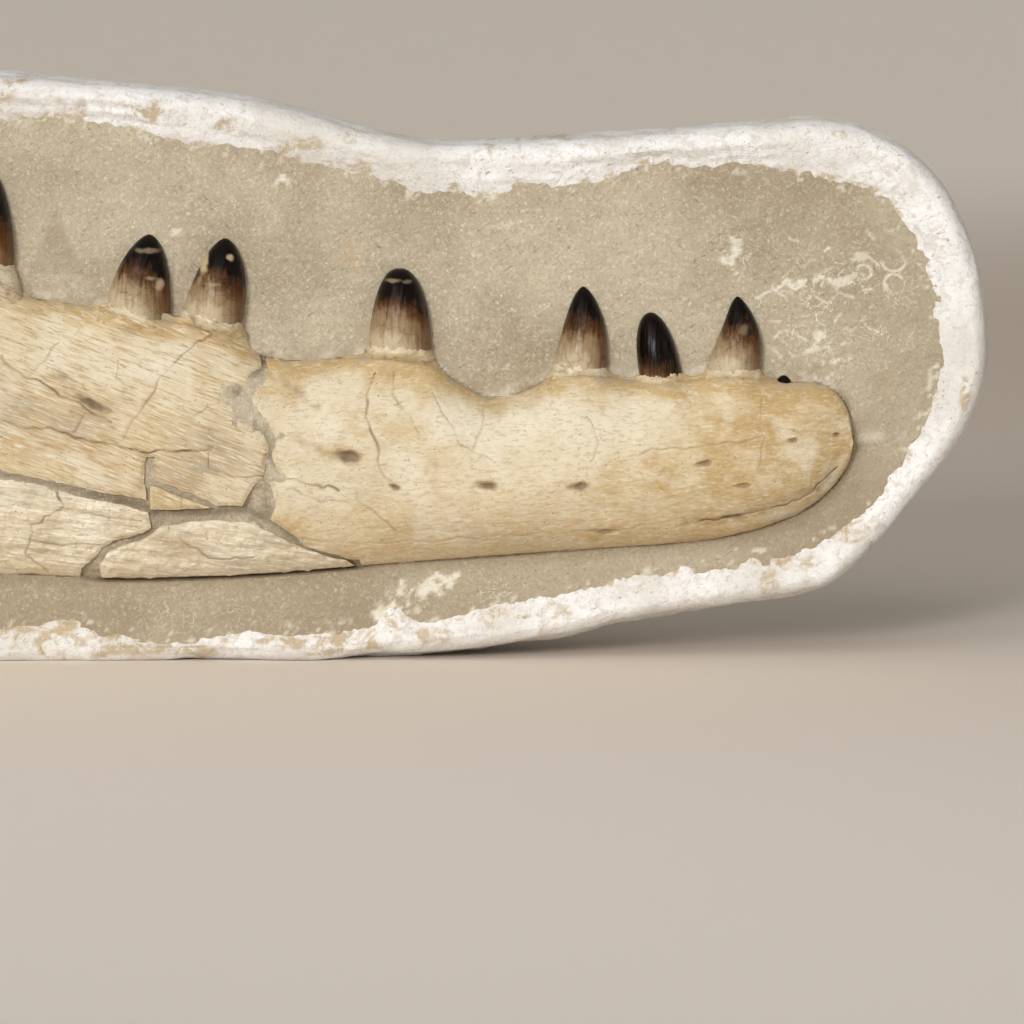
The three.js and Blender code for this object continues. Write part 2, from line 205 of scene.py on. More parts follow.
# Cracks, each with its strength, drawn in the same way
FRONT_CRACKS: list[Crack] = [
    (0.75, [(240.5, 143.5), (236.5, 133.5), (236, 123.5), (239, 116), (242, 110), (243, 101),
            (245.5, 92), (249, 89)]),
    (0.45, [(249.5, 143.5), (249, 133.5), (251.5, 128.5), (258, 123.5), (263, 114.5)]),
    (0.3, [(296.5, 132), (293, 116), (289, 106)]),
    (0.45, [(345.5, 123.5), (349, 116), (351.5, 108.5), (349, 101)]),
    (0.35, [(373, 103.5), (378, 106), (403, 107.5), (433, 111)]),
    (0.35, [(434, 131), (433, 116), (435, 111), (432, 96)]),
    (0.25, [(405, 121), (425, 119), (450, 116), (474, 112)]),
    (0.4, [(268, 133), (278, 120), (283, 108), (300, 100)]),
    (0.9, [(194.5, 90.5), (210.5, 89), (215.5, 87.5), (223, 85)]),
    (0.45, [(223, 85), (232, 86.5), (232, 81), (245.5, 71), (250.5, 66)]),
    (0.4, [(196, 86), (215, 81), (231, 78)]),
    (0.95, [(403, 69.5), (423, 72), (438, 75), (448, 78.5), (460.5, 84.5), (472, 96)]),
    (0.3, [(203, 61), (240, 58), (300, 62), (355, 65), (400, 69)]),
]
REAR_CRACKS: list[Crack] = [
    (0.85, [(53.5, 152), (63.5, 145), (81, 135), (101, 125), (108.5, 121)]),
    (0.75, [(53.5, 121), (83.5, 114.5), (93.5, 112.5), (113, 107.5), (128, 105)]),
    (1.0, [(118, 106.5), (128, 105), (138, 106), (148, 106), (155.5, 105.5), (159, 107.5)]),
    (0.5, [(158.5, 163.5), (151, 158.5), (143.5, 153.5), (136, 145), (128.5, 133.5),
           (121, 123.5), (114, 111)]),
    (0.55, [(162.5, 134.5), (162.5, 129.5), (157.5, 127), (151, 123.5)]),
    (0.6, [(159, 107.5), (158, 97), (165, 93), (178, 93.5), (190, 94)]),
    (0.4, [(83, 160), (76, 150), (64, 141)]),
    (0.4, [(113, 152), (111, 142), (120, 136)]),
    (0.4, [(93, 140), (100, 128), (91, 116)]),
    (0.6, [(-60, 190), (-40, 168), (0, 150), (30, 140)]),
    (0.7, [(-70, 150), (-30, 132), (20, 118), (54, 112)]),
]
SPLENIAL_CRACKS: list[Crack] = [
    (0.8, [(82.5, 87), (84, 78.5), (83, 76), (75.5, 73.5), (74, 70), (69, 69.5), (70, 65),
           (66.5, 60), (64.5, 55), (68, 51), (73, 47), (77, 44.5)]),
    (0.7, [(143, 61), (155.5, 53.5), (160.5, 51), (180.5, 52)]),
    (0.45, [(84, 78), (100, 73), (125, 71)]),
    (0.45, [(66, 60), (80, 58), (103, 58)]),
    (0.6, [(10, 98), (20, 80), (16, 66), (26, 50)]),
]
# Soft spots on the bones, ochre, pale, and filmed with grey sediment, each with its place,
# half width, half height and strength
STAINS = [
    (446, 118, 58, 32, 1.1), (70, 184, 50, 11, 0.9), (150, 168, 30, 9, 0.7), (245, 148, 22, 7, 0.7),
    (90, 107, 45, 9, 0.6), (222, 106, 20, 8, 0.6), (340, 138, 90, 7, 0.4), (390, 70, 90, 10, 0.35),
    (105, 131, 16, 6, 0.7), (160, 96, 26, 10, 0.7), (196, 140, 16, 10, 0.5),
    (378, 92, 38, 8, 0.8), (432, 93, 28, 10, 0.9),
]
PALE_SPOTS = [
    (150, 150, 25, 15, 0.6), (212, 125, 20, 22, 0.5), (300, 112, 45, 25, 0.5),
    (105, 150, 28, 12, 0.5), (380, 120, 30, 16, 0.3), (452, 76, 16, 4, 0.8), (467, 90, 5, 8, 0.8),
    (303, 124, 32, 12, 0.6), (354, 128, 30, 10, 0.5),
]
FILMS = [
    (78, 125, 34, 13, 0.9), (162, 112, 24, 14, 0.6), (140, 96, 30, 6, 0.4), (205, 82, 14, 8, 0.3),
    (20, 130, 40, 20, 0.5), (235, 90, 20, 10, 0.3), (165, 98, 20, 10, 0.7), (300, 68, 60, 12, 0.4),
    (448, 84, 26, 10, 0.6), (395, 80, 30, 10, 0.3), (140, 61, 14, 5, 0.6), (186, 62, 14, 4, 0.6),
    (60, 86, 30, 5, 0.5), (75, 62, 7, 10, 0.6), (165, 50, 20, 4, 0.5),
]
# Sediment rubbed into the plaster, in the same way
DIRT = [
    (82, 271, 26, 6, 0.95), (135, 273, 20, 7, 0.7), (165, 268, 14, 5, 0.6), (205, 258, 16, 5, 0.6),
    (62, 290, 12, 3, 0.7), (85, 19, 12, 6, 0.9), (130, 6, 60, 5, 0.6), (220, 9, 26, 6, 0.7),
    (270, 14, 22, 4, 0.5), (310, 24, 22, 4, 0.6), (440, 50, 26, 5, 0.7), (480, 66, 14, 6, 0.7),
    (534, 136, 5, 9, 0.9), (330, 262, 10, 2, 0.6), (110, 10, 60, 7, 0.8),
    (190, 14, 50, 6, 0.9), (240, 20, 20, 6, 0.7), (60, 17, 20, 5, 0.7),
]
# Plaster smears and cream bits on the sediment, in the same way, then broken rings of shell with
# their radius, and where curls of crushed shell lie
CREAM_PATCHES = [
    (268, 38, 16, 4.5, 1.0), (249, 25, 8, 4, 1.0), (195, 241, 5, 2, 1.0),
    (419, 201, 5, 8, 0.85), (421, 209, 3, 4, 0.7), (452, 190, 11, 2.4, 0.85),
    (474, 191, 6, 3, 0.7), (470, 151, 9, 1.8, 0.75), (463, 157, 14, 1.2, 0.6),
    (483, 203, 4, 3, 0.6), (462, 164, 3, 3, 0.7),
    (141, 216, 3, 3, 0.8), (305, 219, 9, 1.5, 0.3),
]
SHELL_RINGS = [(499, 201, 6), (499, 190, 4.5), (484, 195, 4)]
SHELL_PATCHES = [
    (468, 178, 42, 34, 0.9), (420, 204, 9, 16, 0.8), (290, 34, 60, 9, 0.6), (150, 22, 60, 8, 0.5),
]
# Shallow grooves, painted brown inside as painted shade
GROOVES: list[Line] = [
    [(198, 138.5), (206, 132), (213, 126)],
    [(83.5, 143.5), (96, 133), (107.5, 126)],
    [(203, 111), (218, 104), (229, 103)],
    [(398, 68), (423, 71.5), (438, 74.5), (448, 78), (460.5, 84), (470, 93), (475, 102)],
]


def value_at(rows: Line, x: np.ndarray) -> np.ndarray:
    """Reads a smooth curve through rows of (x, value).

    Args:
        rows: the curve's points, with x rising.
        x: where to read it.

    Returns:
        The curve's value at each x.
    """
    xs, values = np.array(rows, float).T
    x = np.clip(x, xs[0], xs[-1])
    slope = np.empty_like(values)
    slope[1:-1] = (values[2:] - values[:-2]) / (xs[2:] - xs[:-2])
    slope[0] = (values[1] - values[0]) / (xs[1] - xs[0])
    slope[-1] = (values[-1] - values[-2]) / (xs[-1] - xs[-2])
    i = np.clip(np.searchsorted(xs, x) - 1, 0, len(xs) - 2)
    span = xs[i + 1] - xs[i]
    t = (x - xs[i]) / span
    t2, t3 = t * t, t * t * t
    hold = (2 * t3 - 3 * t2 + 1) * values[i] + (3 * t2 - 2 * t3) * values[i + 1]
    return hold + (t3 - 2 * t2 + t) * span * slope[i] + (t3 - t2) * span * slope[i + 1]


def smooth_step(low: float, high: float, value: np.ndarray) -> np.ndarray:
    """Rises smoothly between two values.

    Args:
        low: where it is 0.
        high: where it is 1. Below low, it falls instead.
        value: what it reads.

    Returns:
        Values from 0 to 1.
    """
    t = np.clip((value - low) / (high - low), 0, 1)
    return t * t * (3 - 2 * t)


def line_distance(x: np.ndarray, z: np.ndarray, line: Line, closed: bool = False) -> np.ndarray:
    """Measures how far each place is from a line.

    Args:
        x: places along the jaw.
        z: their heights.
        line: the corners of the line.
        closed: whether its last corner joins its first.

    Returns:
        The distance from each place to the nearest point of the line.
    """
    corners = list(line) + ([line[0]] if closed else [])
    best = np.full(np.shape(x), np.inf)
    for (ax, az), (bx, bz) in zip(corners[:-1], corners[1:]):
        dx, dz = bx - ax, bz - az
        t = np.clip(((x - ax) * dx + (z - az) * dz) / max(dx * dx + dz * dz, 1e-9), 0, 1)
        best = np.minimum(best, np.hypot(x - ax - t * dx, z - az - t * dz))
    return best


class Noise:
    """Smooth seeded noise over the plane of the fossil's face."""

    CELLS = 256
    ORIGIN = 1000.5
    LAYER_SHIFT = 37.0
    LAYER_RATIO = 2.1

    def __init__(self, seed: int) -> None:
        """Draws the lattice of random values.

        Args:
            seed: the same seed gives the same noise.
        """
        self.lattice = np.random.default_rng(seed).uniform(-1, 1, (self.CELLS, self.CELLS))

    def at(self, x: np.ndarray, z: np.ndarray, size: float, stretch: float = 1.0) -> np.ndarray:
        """Reads the noise.

        Args:
            x: places along the jaw.
            z: their heights.
            size: how many millimetres one bump spans.
            stretch: how many times longer bumps are along x.

        Returns:
            Values from -1 to 1.
        """
        u, v = x / (size * stretch) + self.ORIGIN, z / size + self.ORIGIN
        iu, iv = np.floor(u).astype(int), np.floor(v).astype(int)
        fu, fv = u - iu, v - iv
        fu, fv = fu * fu * (3 - 2 * fu), fv * fv * (3 - 2 * fv)
        a, b = iu % self.CELLS, (iu + 1) % self.CELLS
        c, d = iv % self.CELLS, (iv + 1) % self.CELLS
        low = self.lattice[a, c] * (1 - fu) + self.lattice[b, c] * fu
        high = self.lattice[a, d] * (1 - fu) + self.lattice[b, d] * fu
        return low * (1 - fv) + high * fv

    def layered(
        self, x: np.ndarray, z: np.ndarray, size: float, layers: int = 3, stretch: float = 1.0
    ) -> np.ndarray:
        """Adds finer and fainter layers of the noise.

        Args:
            x: places along the jaw.
            z: their heights.
            size: how many millimetres a bump of the first layer spans.
            layers: how many layers there are.
            stretch: how many times longer bumps are along x.

        Returns:
            Their sum, from about -2 to 2.
        """
        total = np.zeros(np.shape(x))
        for layer in range(layers):
            shift, finer = self.LAYER_SHIFT * layer, size / self.LAYER_RATIO**layer
            total += self.at(x + shift, z - shift, finer, stretch) * 0.5**layer
        return total


def solo(piece: bpy.types.Object) -> None:
    """Selects one object alone and makes it active.

    Args:
        piece: the object.
    """
    bpy.ops.object.select_all(action="DESELECT")
    piece.select_set(True)
    bpy.context.view_layer.objects.active = piece


def set_points(piece: bpy.types.Object, points: np.ndarray) -> None:
    """Moves a mesh's corners.

    Args:
        piece: the object.
        points: one row of x, y, z a corner, in millimetres.
    """
    piece.data.vertices.foreach_set("co", (points * MM).astype(np.float32).ravel())
    piece.data.update()


def get_points(piece: bpy.types.Object) -> np.ndarray:
    """Reads a mesh's corners.

    Args:
        piece: the object.

    Returns:
        One row of x, y, z a corner, in millimetres.
    """
    points = np.empty(len(piece.data.vertices) * 3, np.float32)
    piece.data.vertices.foreach_get("co", points)
    return points.reshape(-1, 3).astype(float) / MM


def grid_sheet(name: str, points: np.ndarray) -> bpy.types.Object:
    """Lays a grid primitive over rows of points.

    Args:
        name: the new object's name.
        points: an array of rows by columns by 3, in millimetres.

    Returns:
        The open sheet.
    """
    rows, columns = points.shape[:2]
    bpy.ops.object.select_all(action="DESELECT")
    bpy.ops.mesh.primitive_grid_add(x_subdivisions=columns - 1, y_subdivisions=rows - 1, size=1)
    sheet = bpy.context.object
    sheet.name = sheet.data.name = name
    set_points(sheet, points.reshape(-1, 3))
    return sheet


def weld(piece: bpy.types.Object, distance: float = 0.002) -> None:
    """Joins corners that meet, and turns every face outwards.

    Args:
        piece: the object.
        distance: corners nearer than this many millimetres are joined.
    """
    solo(piece)
    bpy.ops.object.mode_set(mode="EDIT")
    bpy.ops.mesh.select_all(action="SELECT")
    bpy.ops.mesh.remove_doubles(threshold=distance * MM)
    bpy.ops.mesh.dissolve_degenerate(threshold=distance * MM)
    bpy.ops.mesh.normals_make_consistent(inside=False)
    bpy.ops.object.mode_set(mode="OBJECT")


def close_behind(sheet: bpy.types.Object, back_y: float) -> None:
    """Makes a sheet a block: its border is extruded to a flat back, which is then filled.

    Args:
        sheet: the open sheet.
        back_y: where the flat back lies, in millimetres.
    """
    count = len(sheet.data.vertices)
    solo(sheet)
    bpy.ops.object.mode_set(mode="EDIT")
    bpy.ops.mesh.select_mode(type="EDGE")
    bpy.ops.mesh.select_all(action="DESELECT")
    bpy.ops.mesh.select_non_manifold()
    bpy.ops.mesh.extrude_edges_move(TRANSFORM_OT_translate={"value": (0, MM, 0)})
    bpy.ops.mesh.edge_face_add()
    bpy.ops.object.mode_set(mode="OBJECT")
    points = get_points(sheet)
    points[count:, 1] = back_y
    set_points(sheet, points)
    weld(sheet)


def keep_inside(piece: bpy.types.Object, outline: Line) -> None:
    """Cuts a block to an outline with a boolean modifier.

    Args:
        piece: the block.
        outline: the corners that it keeps, as (x, z) in millimetres.
    """
    reach = 300.0
    bpy.ops.object.select_all(action="DESELECT")
    bpy.ops.mesh.primitive_circle_add(vertices=len(outline), fill_type="NGON")
    cutter = bpy.context.object
    set_points(cutter, np.array([(x, -reach, z) for x, z in outline], float))
    bpy.ops.object.mode_set(mode="EDIT")
    bpy.ops.mesh.select_all(action="SELECT")
    bpy.ops.mesh.extrude_region_move(TRANSFORM_OT_translate={"value": (0, 2 * reach * MM, 0)})
    bpy.ops.mesh.select_all(action="SELECT")
    bpy.ops.mesh.normals_make_consistent(inside=False)
    bpy.ops.object.mode_set(mode="OBJECT")
    solo(piece)
    cut = piece.modifiers.new("outline", "BOOLEAN")
    cut.operation = "INTERSECT"
    cut.solver = "MANIFOLD"
    cut.object = cutter
    bpy.ops.object.modifier_apply(modifier=cut.name)
    bpy.data.objects.remove(cutter)


def write_mark(piece: bpy.types.Object, name: str, values: np.ndarray) -> None:
    """Stores one number a corner, which the piece's material reads.

    Args:
        piece: the object.
        name: the name that the material reads it by.
        values: one number a corner, cut off at 0 and 1.
    """
    attribute = piece.data.attributes.new(name, "FLOAT", "POINT")
    attribute.data.foreach_set("value", np.clip(values, 0, 1).astype(np.float32))


def ragged(line: Line, sway: float, seed: int, closed: bool = False) -> Line:
    """Breaks a line into short steps that wander a little, as a broken edge does.

    Args:
        line: its corners.
        sway: how far a step may wander, in millimetres.
        seed: the seed of the wandering.
        closed: whether its last corner joins its first.

    Returns:
        The corners of the ragged line.
    """
    step = 1.6
    noise = Noise(seed)
    corners = list(line) + ([line[0]] if closed else [])
    rows = []
    for (ax, az), (bx, bz) in zip(corners[:-1], corners[1:]):
        count = max(1, round(math.hypot(bx - ax, bz - az) / step))
        for k in range(count):
            rows.append((ax + (bx - ax) * k / count, az + (bz - az) * k / count))
    if not closed:
        rows.append(corners[-1])
    x, z = np.array(rows, float).T
    dx = noise.layered(x, z, 7, 2) * sway
    dz = noise.layered(z + 80, x, 7, 2) * sway
    return list(zip((x + dx).tolist(), (z + dz).tolist()))


def finish_piece(piece: bpy.types.Object, nodes: list[str], angle: float = 40) -> None:
    """Shades a piece, sets it on the part and hides the solids that it takes the place of.

    Args:
        piece: the finished piece.
        nodes: the solids that it takes the place of.
        angle: edges sharper than this many degrees stay sharp.
    """
    solo(piece)
    bpy.ops.object.shade_smooth_by_angle(angle=math.radians(angle))
    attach(piece, "root")
    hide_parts(*nodes)
    LOG.info("%s: %d faces", piece.name, len(piece.data.polygons))


class Shader:
    """Builds one material from nodes, each made and joined in a call."""

    def __init__(self, name: str, roughness: float, specular: float = 0.5) -> None:
        """Starts the material.

        Args:
            name: the material's name.
            roughness: how matt its surface is.
            specular: how strongly it mirrors.
        """
        self.material = bpy.data.materials.new(name)
        self.material.use_nodes = True
        self.nodes = self.material.node_tree.nodes
        self.links = self.material.node_tree.links
        self.surface = self.nodes["Principled BSDF"]
        self.surface.inputs["Roughness"].default_value = roughness
        self.surface.inputs["Specular IOR Level"].default_value = specular
        self.place = self.nodes.new("ShaderNodeTexCoord").outputs["Object"]
        self.colour: object = (1.0, 1.0, 1.0)

    def put(self, socket: Socket, value: object) -> None:
        """Joins a value to a socket, or sets it there.

        Args:
            socket: the input that takes it.
            value: another node's output, a number or a colour.
        """
        if isinstance(value, bpy.types.NodeSocket):
            self.links.new(value, socket)
        elif isinstance(value, tuple) and len(value) == 3 and socket.type == "RGBA":
            socket.default_value = (*value, 1.0)
        else:
            socket.default_value = value

    def turned(self, scale: Place, degrees: float = 0.0) -> Socket:
        """Stretches the pattern's space, and turns it about the depth axis.

        Args:
            scale: repeats a metre along, through and across the grain.
            degrees: how far the grain climbs to the right.

        Returns:
            The stretched coordinates.
        """
        turn = self.nodes.new("ShaderNodeMapping")
        turn.inputs["Rotation"].default_value = (0, math.radians(degrees), 0)
        self.put(turn.inputs["Vector"], self.place)
        stretch = self.nodes.new("ShaderNodeMapping")
        stretch.inputs["Scale"].default_value = scale
        self.put(stretch.inputs["Vector"], turn.outputs["Vector"])
        return stretch.outputs["Vector"]

    def noise(
        self,
        scale: float,
        detail: float = 4.0,
        rough: float = 0.55,
        where: Socket | None = None,
        swirl: float = 0.0,
    ) -> Socket:
        """Makes a noise pattern.

        Args:
            scale: how many times it repeats in a metre.
            detail: how many finer layers it has.
            rough: how strong those are.
            where: the coordinates that it reads, if not the object's own.
            swirl: how much it is stirred.

        Returns:
            Its height, from 0 to 1.
        """
        node = self.nodes.new("ShaderNodeTexNoise")
        node.inputs["Scale"].default_value = scale
        node.inputs["Detail"].default_value = detail
        node.inputs["Roughness"].default_value = rough
        node.inputs["Distortion"].default_value = swirl
        self.put(node.inputs["Vector"], where or self.place)
        return node.outputs["Fac"]

    def cells(self, scale: float, kind: str = "F1") -> Socket:
        """Makes a pattern of cells.

        Args:
            scale: how many cells there are in a metre.
            kind: what it measures, the distance to centres or to borders.

        Returns:
            The distance, as a share of a cell.
        """
        node = self.nodes.new("ShaderNodeTexVoronoi")
        node.feature = kind
        node.inputs["Scale"].default_value = scale
        self.put(node.inputs["Vector"], self.place)
        return node.outputs["Distance"]

    def distance(self, place: Place) -> Socket:
        """Measures how far the surface is from a place.

        Args:
            place: the place, in metres.

        Returns:
            The distance, in metres.
        """
        node = self.nodes.new("ShaderNodeVectorMath")
        node.operation = "DISTANCE"
        self.put(node.inputs[0], self.place)
        node.inputs[1].default_value = place
        return node.outputs["Value"]

    def mark(self, name: str) -> Socket:
        """Reads a number stored at the piece's corners.

        Args:
            name: the name that it is stored under.

        Returns:
            The number.
        """
        node = self.nodes.new("ShaderNodeAttribute")
        node.attribute_name = name
        return node.outputs["Fac"]

    def between(self, value: object, low: float, high: float, top: float = 1.0) -> Socket:
        """Rises smoothly between two values, or falls where the first is above the second.

        Args:
            value: what it reads.
            low: where it is 0.
            high: where it is at its top.
            top: how high that is.

        Returns:
            The value between 0 and the top.
        """
        node = self.nodes.new("ShaderNodeMapRange")
        node.interpolation_type = "SMOOTHSTEP"
        flip = low > high
        node.inputs["From Min"].default_value = high if flip else low
        node.inputs["From Max"].default_value = low if flip else high
        node.inputs["To Min"].default_value = top if flip else 0.0
        node.inputs["To Max"].default_value = 0.0 if flip else top
        self.put(node.inputs["Value"], value)
        return node.outputs["Result"]

    def math(self, kind: str, a: object, b: object = 0.0) -> Socket:
        """Does one sum.

        Args:
            kind: which sum.
            a: the first value.
            b: the second value, where the sum has one.

        Returns:
            The result.
        """
        node = self.nodes.new("ShaderNodeMath")
        node.operation = kind
        self.put(node.inputs[0], a)
        self.put(node.inputs[1], b)
        return node.outputs[0]

    def times(self, a: object, b: object) -> Socket:
        """Multiplies two values."""
        return self.math("MULTIPLY", a, b)

    def cover(self, share: object, colour: Colour) -> None:
        """Lays a colour over the colour that the material has so far.

        Args:
            share: how much of it shows.
            colour: the upper colour.
        """
        node = self.nodes.new("ShaderNodeMix")
        node.data_type = "RGBA"
        self.put(node.inputs["Factor"], share)
        self.put(node.inputs["A"], self.colour)
        self.put(node.inputs["B"], colour)
        self.colour = node.outputs["Result"]

    def lay(self, value: object, low: float, high: float, top: float, colour: Colour) -> None:
        """Lays a colour where a pattern rises from low to high, or falls where low is above."""
        self.cover(self.between(value, low, high, top), colour)

    def bump(self, height: object, depth: float, strength: float = 1.0) -> None:
        """Roughens the surface, over any bump that it already has.

        Args:
            height: the pattern, from 0 to 1.
            depth: how deep it goes, in millimetres.
            strength: how much of the bump shows.
        """
        node = self.nodes.new("ShaderNodeBump")
        node.inputs["Strength"].default_value = strength
        node.inputs["Distance"].default_value = depth * MM
        self.put(node.inputs["Height"], height)
        normal = self.surface.inputs["Normal"]
        if normal.is_linked:
            self.put(node.inputs["Normal"], normal.links[0].from_socket)
        self.put(normal, node.outputs["Normal"])

    def finish(self) -> bpy.types.Material:
        """Gives the surface its colour, and hands the material over."""
        self.put(self.surface.inputs["Base Color"], self.colour)
        return self.material


def rgb(red: int, green: int, blue: int) -> Colour:
    """Turns a colour as a screen shows it into the share of light that it reflects.

    Args:
        red: its red, from 0 to 255.
        green: its green.
        blue: its blue.

    Returns:
        The shares of red, green and blue light.
    """
    shares = (red / 255, green / 255, blue / 255)
    return tuple(s / 12.92 if s <= 0.04045 else ((s + 0.055) / 1.055) ** 2.4 for s in shares)


@dataclass(frozen=True)
class FloorFinish:
    """Seamless warm grey paper, with a painted pool of light in front of the part, and painted shade
    far behind it to the right and towards the camera.
    """

    colour: Colour = rgb(234, 223, 210)
    # The colours of a painted pool of light and of painted shade, and where each lies and how far it
    # reaches
    painted_light: Colour = rgb(249, 239, 228)
    painted_shade: Colour = rgb(175, 160, 142)
    painted_shade_place: Place = (2.2, 2.0, 0.0)
    painted_shade_reach: float = 3.6
    painted_light_place: Place = (0.2, -0.65, 0.0)
    painted_light_reach: float = 1.15
    front_shade_place: Place = (0.2, -2.8, 0.0)
    front_shade_reach: float = 1.9

    def build(self) -> bpy.types.Material:
        """Makes the material.

        Returns:
            The material.
        """
        shader = Shader("studio_paper", 0.9, 0.2)
        # A painted pool of light on the paper in front of the part
        near = shader.between(shader.distance(self.painted_light_place), self.painted_light_reach, 0.1)
        # Painted shade far behind the part to the right, and on the paper nearest the camera
        far = shader.between(shader.distance(self.painted_shade_place), self.painted_shade_reach, 0.1)
        front = shader.between(shader.distance(self.front_shade_place), self.front_shade_reach, 0.6, 0.5)
        shader.colour = self.colour
        shader.cover(near, self.painted_light)
        shader.cover(shader.math("MAXIMUM", far, front), self.painted_shade)
        return shader.finish()


@dataclass
class Studio:
    """The floor, the lights and the camera."""

    camera_distance: float = 3.0
    camera_tilt: float = 6.0
    photo_side: int = 1024
    pixels_at_distance: float = 6000.0
    aim: Place = (0.309, FACE_Y * MM, 0.075)
    sensor: float = 36.0
    view_end: float = 120.0
    floor_radius: float = 45.0
    floor_corners: int = 96
    # A row a lamp: its name, strength, softness, turn to the left and height, as sun takes them
    suns: tuple[tuple[str, float, float, float, float], ...] = (
        ("key", 1.53, 11, 20, 15), ("soft_key", 0.95, 55, 22, 30), ("overhead", 0.36, 75, 25, 62),
    )
    lamp_tint: Colour = (1, 1, 0.99)
    side_place: Place = (3.2, -1.6, 1.2)
    sky_tint: Colour = (1.0, 0.95, 0.89)
    sky_strength: float = 0.21

    def camera(self) -> None:
        """Sets the camera square to the fossil's face, a little above it."""
        tilt = math.radians(self.camera_tilt)
        back = Vector((0, -math.cos(tilt), math.sin(tilt)))
        data = bpy.data.cameras.new("camera")
        data.sensor_width = self.sensor
        data.lens = self.sensor * self.pixels_at_distance / self.photo_side
        data.clip_end = self.view_end
        camera = bpy.data.objects.new("camera", data)
        camera.location = Vector(self.aim) + back * self.camera_distance
        camera.rotation_euler = (-back).to_track_quat("-Z", "Y").to_euler()
        bpy.context.scene.collection.objects.link(camera)
        bpy.context.scene.camera = camera

    def floor(self) -> None:
        """Lays a wide round sheet of paper that the part stands on."""
        bpy.ops.object.select_all(action="DESELECT")
        bpy.ops.mesh.primitive_circle_add(
            vertices=self.floor_corners, radius=self.floor_radius, fill_type="NGON"
        )
        floor = bpy.context.object
        floor.name = floor.data.name = "studio_floor"
        floor.data.materials.append(FloorFinish().build())

    def light(self, name: str, place: Place, width: float, power: float) -> None:
        """Hangs a square soft light that faces the fossil.

        Args:
            name: the lamp's name.
            place: where it hangs, in metres.
            width: the length of its side, in metres.
            power: its strength, in watts.
        """
        data = bpy.data.lights.new(name, "AREA")
        data.size = width
        data.energy = power
        data.color = self.lamp_tint
        lamp = bpy.data.objects.new(name, data)
        lamp.location = place
        towards = Vector(self.aim) - Vector(place)
        lamp.rotation_euler = towards.to_track_quat("-Z", "Y").to_euler()
        lamp.visible_camera = False
        bpy.context.scene.collection.objects.link(lamp)

    def sun(self, name: str, strength: float, softness: float, side: float, height: float) -> None:
        """Adds an even light from far away, in front and to the left.

        Args:
            name: the lamp's name.
            strength: its strength, in watts a square metre.
            softness: how wide it looks, in degrees.
            side: how far to the left it stands, in degrees.
            height: how high it stands, in degrees.
        """
        data = bpy.data.lights.new(name, "SUN")
        data.energy = strength
        data.angle = math.radians(softness)
        data.color = self.lamp_tint
        lamp = bpy.data.objects.new(name, data)
        turn, rise = math.radians(side), math.radians(height)
        ahead = math.cos(rise)
        beam = Vector((ahead * math.sin(turn), ahead * math.cos(turn), -math.sin(rise)))
        lamp.rotation_euler = beam.to_track_quat("-Z", "Y").to_euler()
        bpy.context.scene.collection.objects.link(lamp)

    def build(self) -> None:
        """Makes the whole studio."""
        self.camera()
        self.floor()
        for row in self.suns:
            self.sun(*row)
        self.light("side", self.side_place, 1.6, 10)
        world = bpy.data.worlds.new("studio")
        world.use_nodes = True
        background = world.node_tree.nodes["Background"]
        background.inputs["Color"].default_value = (*self.sky_tint, 1)
        background.inputs["Strength"].default_value = self.sky_strength
        bpy.context.scene.world = world
        bpy.context.scene.view_settings.view_transform = "Standard"


def proud(line: Line, relief: float = MIDDLE_RELIEF) -> Line:
    """Moves a line drawn on the sediment's face forward onto the bone, along the line of sight.

    Args:
        line: its corners, as (x, z).
        relief: how far the bone stands out there, in millimetres.

    Returns:
        The corners on the bone.
    """
    studio = Studio()
    tilt = math.radians(studio.camera_tilt)
    distance = studio.camera_distance / MM
    eye_x = studio.aim[0] / MM
    eye_z = studio.aim[2] / MM + distance * math.sin(tilt)
    share = 1 - relief / (distance * math.cos(tilt))
    return [(eye_x + share * (x - eye_x), eye_z + share * (z - eye_z)) for x, z in line]


def proud_cracks(cracks: list[Crack], relief: float = MIDDLE_RELIEF) -> list[Crack]:
    """Moves cracks drawn on the sediment's face forward onto the bone.

    Args:
        cracks: the cracks, each with its strength.
        relief: how far the bone stands out there, in millimetres.

    Returns:
        The cracks on the bone.
    """
    return [(strength, proud(line, relief)) for strength, line in cracks]


def jaw_margin(x: np.ndarray, z: np.ndarray) -> np.ndarray:
    """Measures how far each place lies inside the jaw's upper or lower border.

    Args:
        x: places along the jaw.
        z: their heights.

    Returns:
        The distances in millimetres, below 0 outside the jaw.
    """
    inside = np.minimum(value_at(JAW_TOP, x) - z, z - value_at(JAW_BOTTOM, x))
    beyond = np.maximum(x - JAW_TOP[-1][0], JAW_TOP[0][0] - x)
    return np.where(beyond > 0, -np.hypot(np.maximum(beyond, 0), np.minimum(inside, 0)), inside)


def dome(x: np.ndarray, z: np.ndarray) -> np.ndarray:
    """Gives the height of the whole jaw's plain relief over the sediment.

    Args:
        x: places along the jaw.
        z: their heights.

    Returns:
        Heights in millimetres.
    """
    top, bottom = value_at(JAW_TOP, x), value_at(JAW_BOTTOM, x)
    across = np.clip((2 * z - top - bottom) / (top - bottom), -1, 1)
    swell = (1 - np.abs(across) ** 2.4) ** 0.6
    return BONE_EDGE + (value_at(JAW_RELIEF, x) - BONE_EDGE) * swell * JAW_FLATTEN


class Grain(Enum):
    """How far a bone's fibres climb to the right, in degrees."""

    LEVEL = 2
    FALLING = -21
    SLIGHT = -8


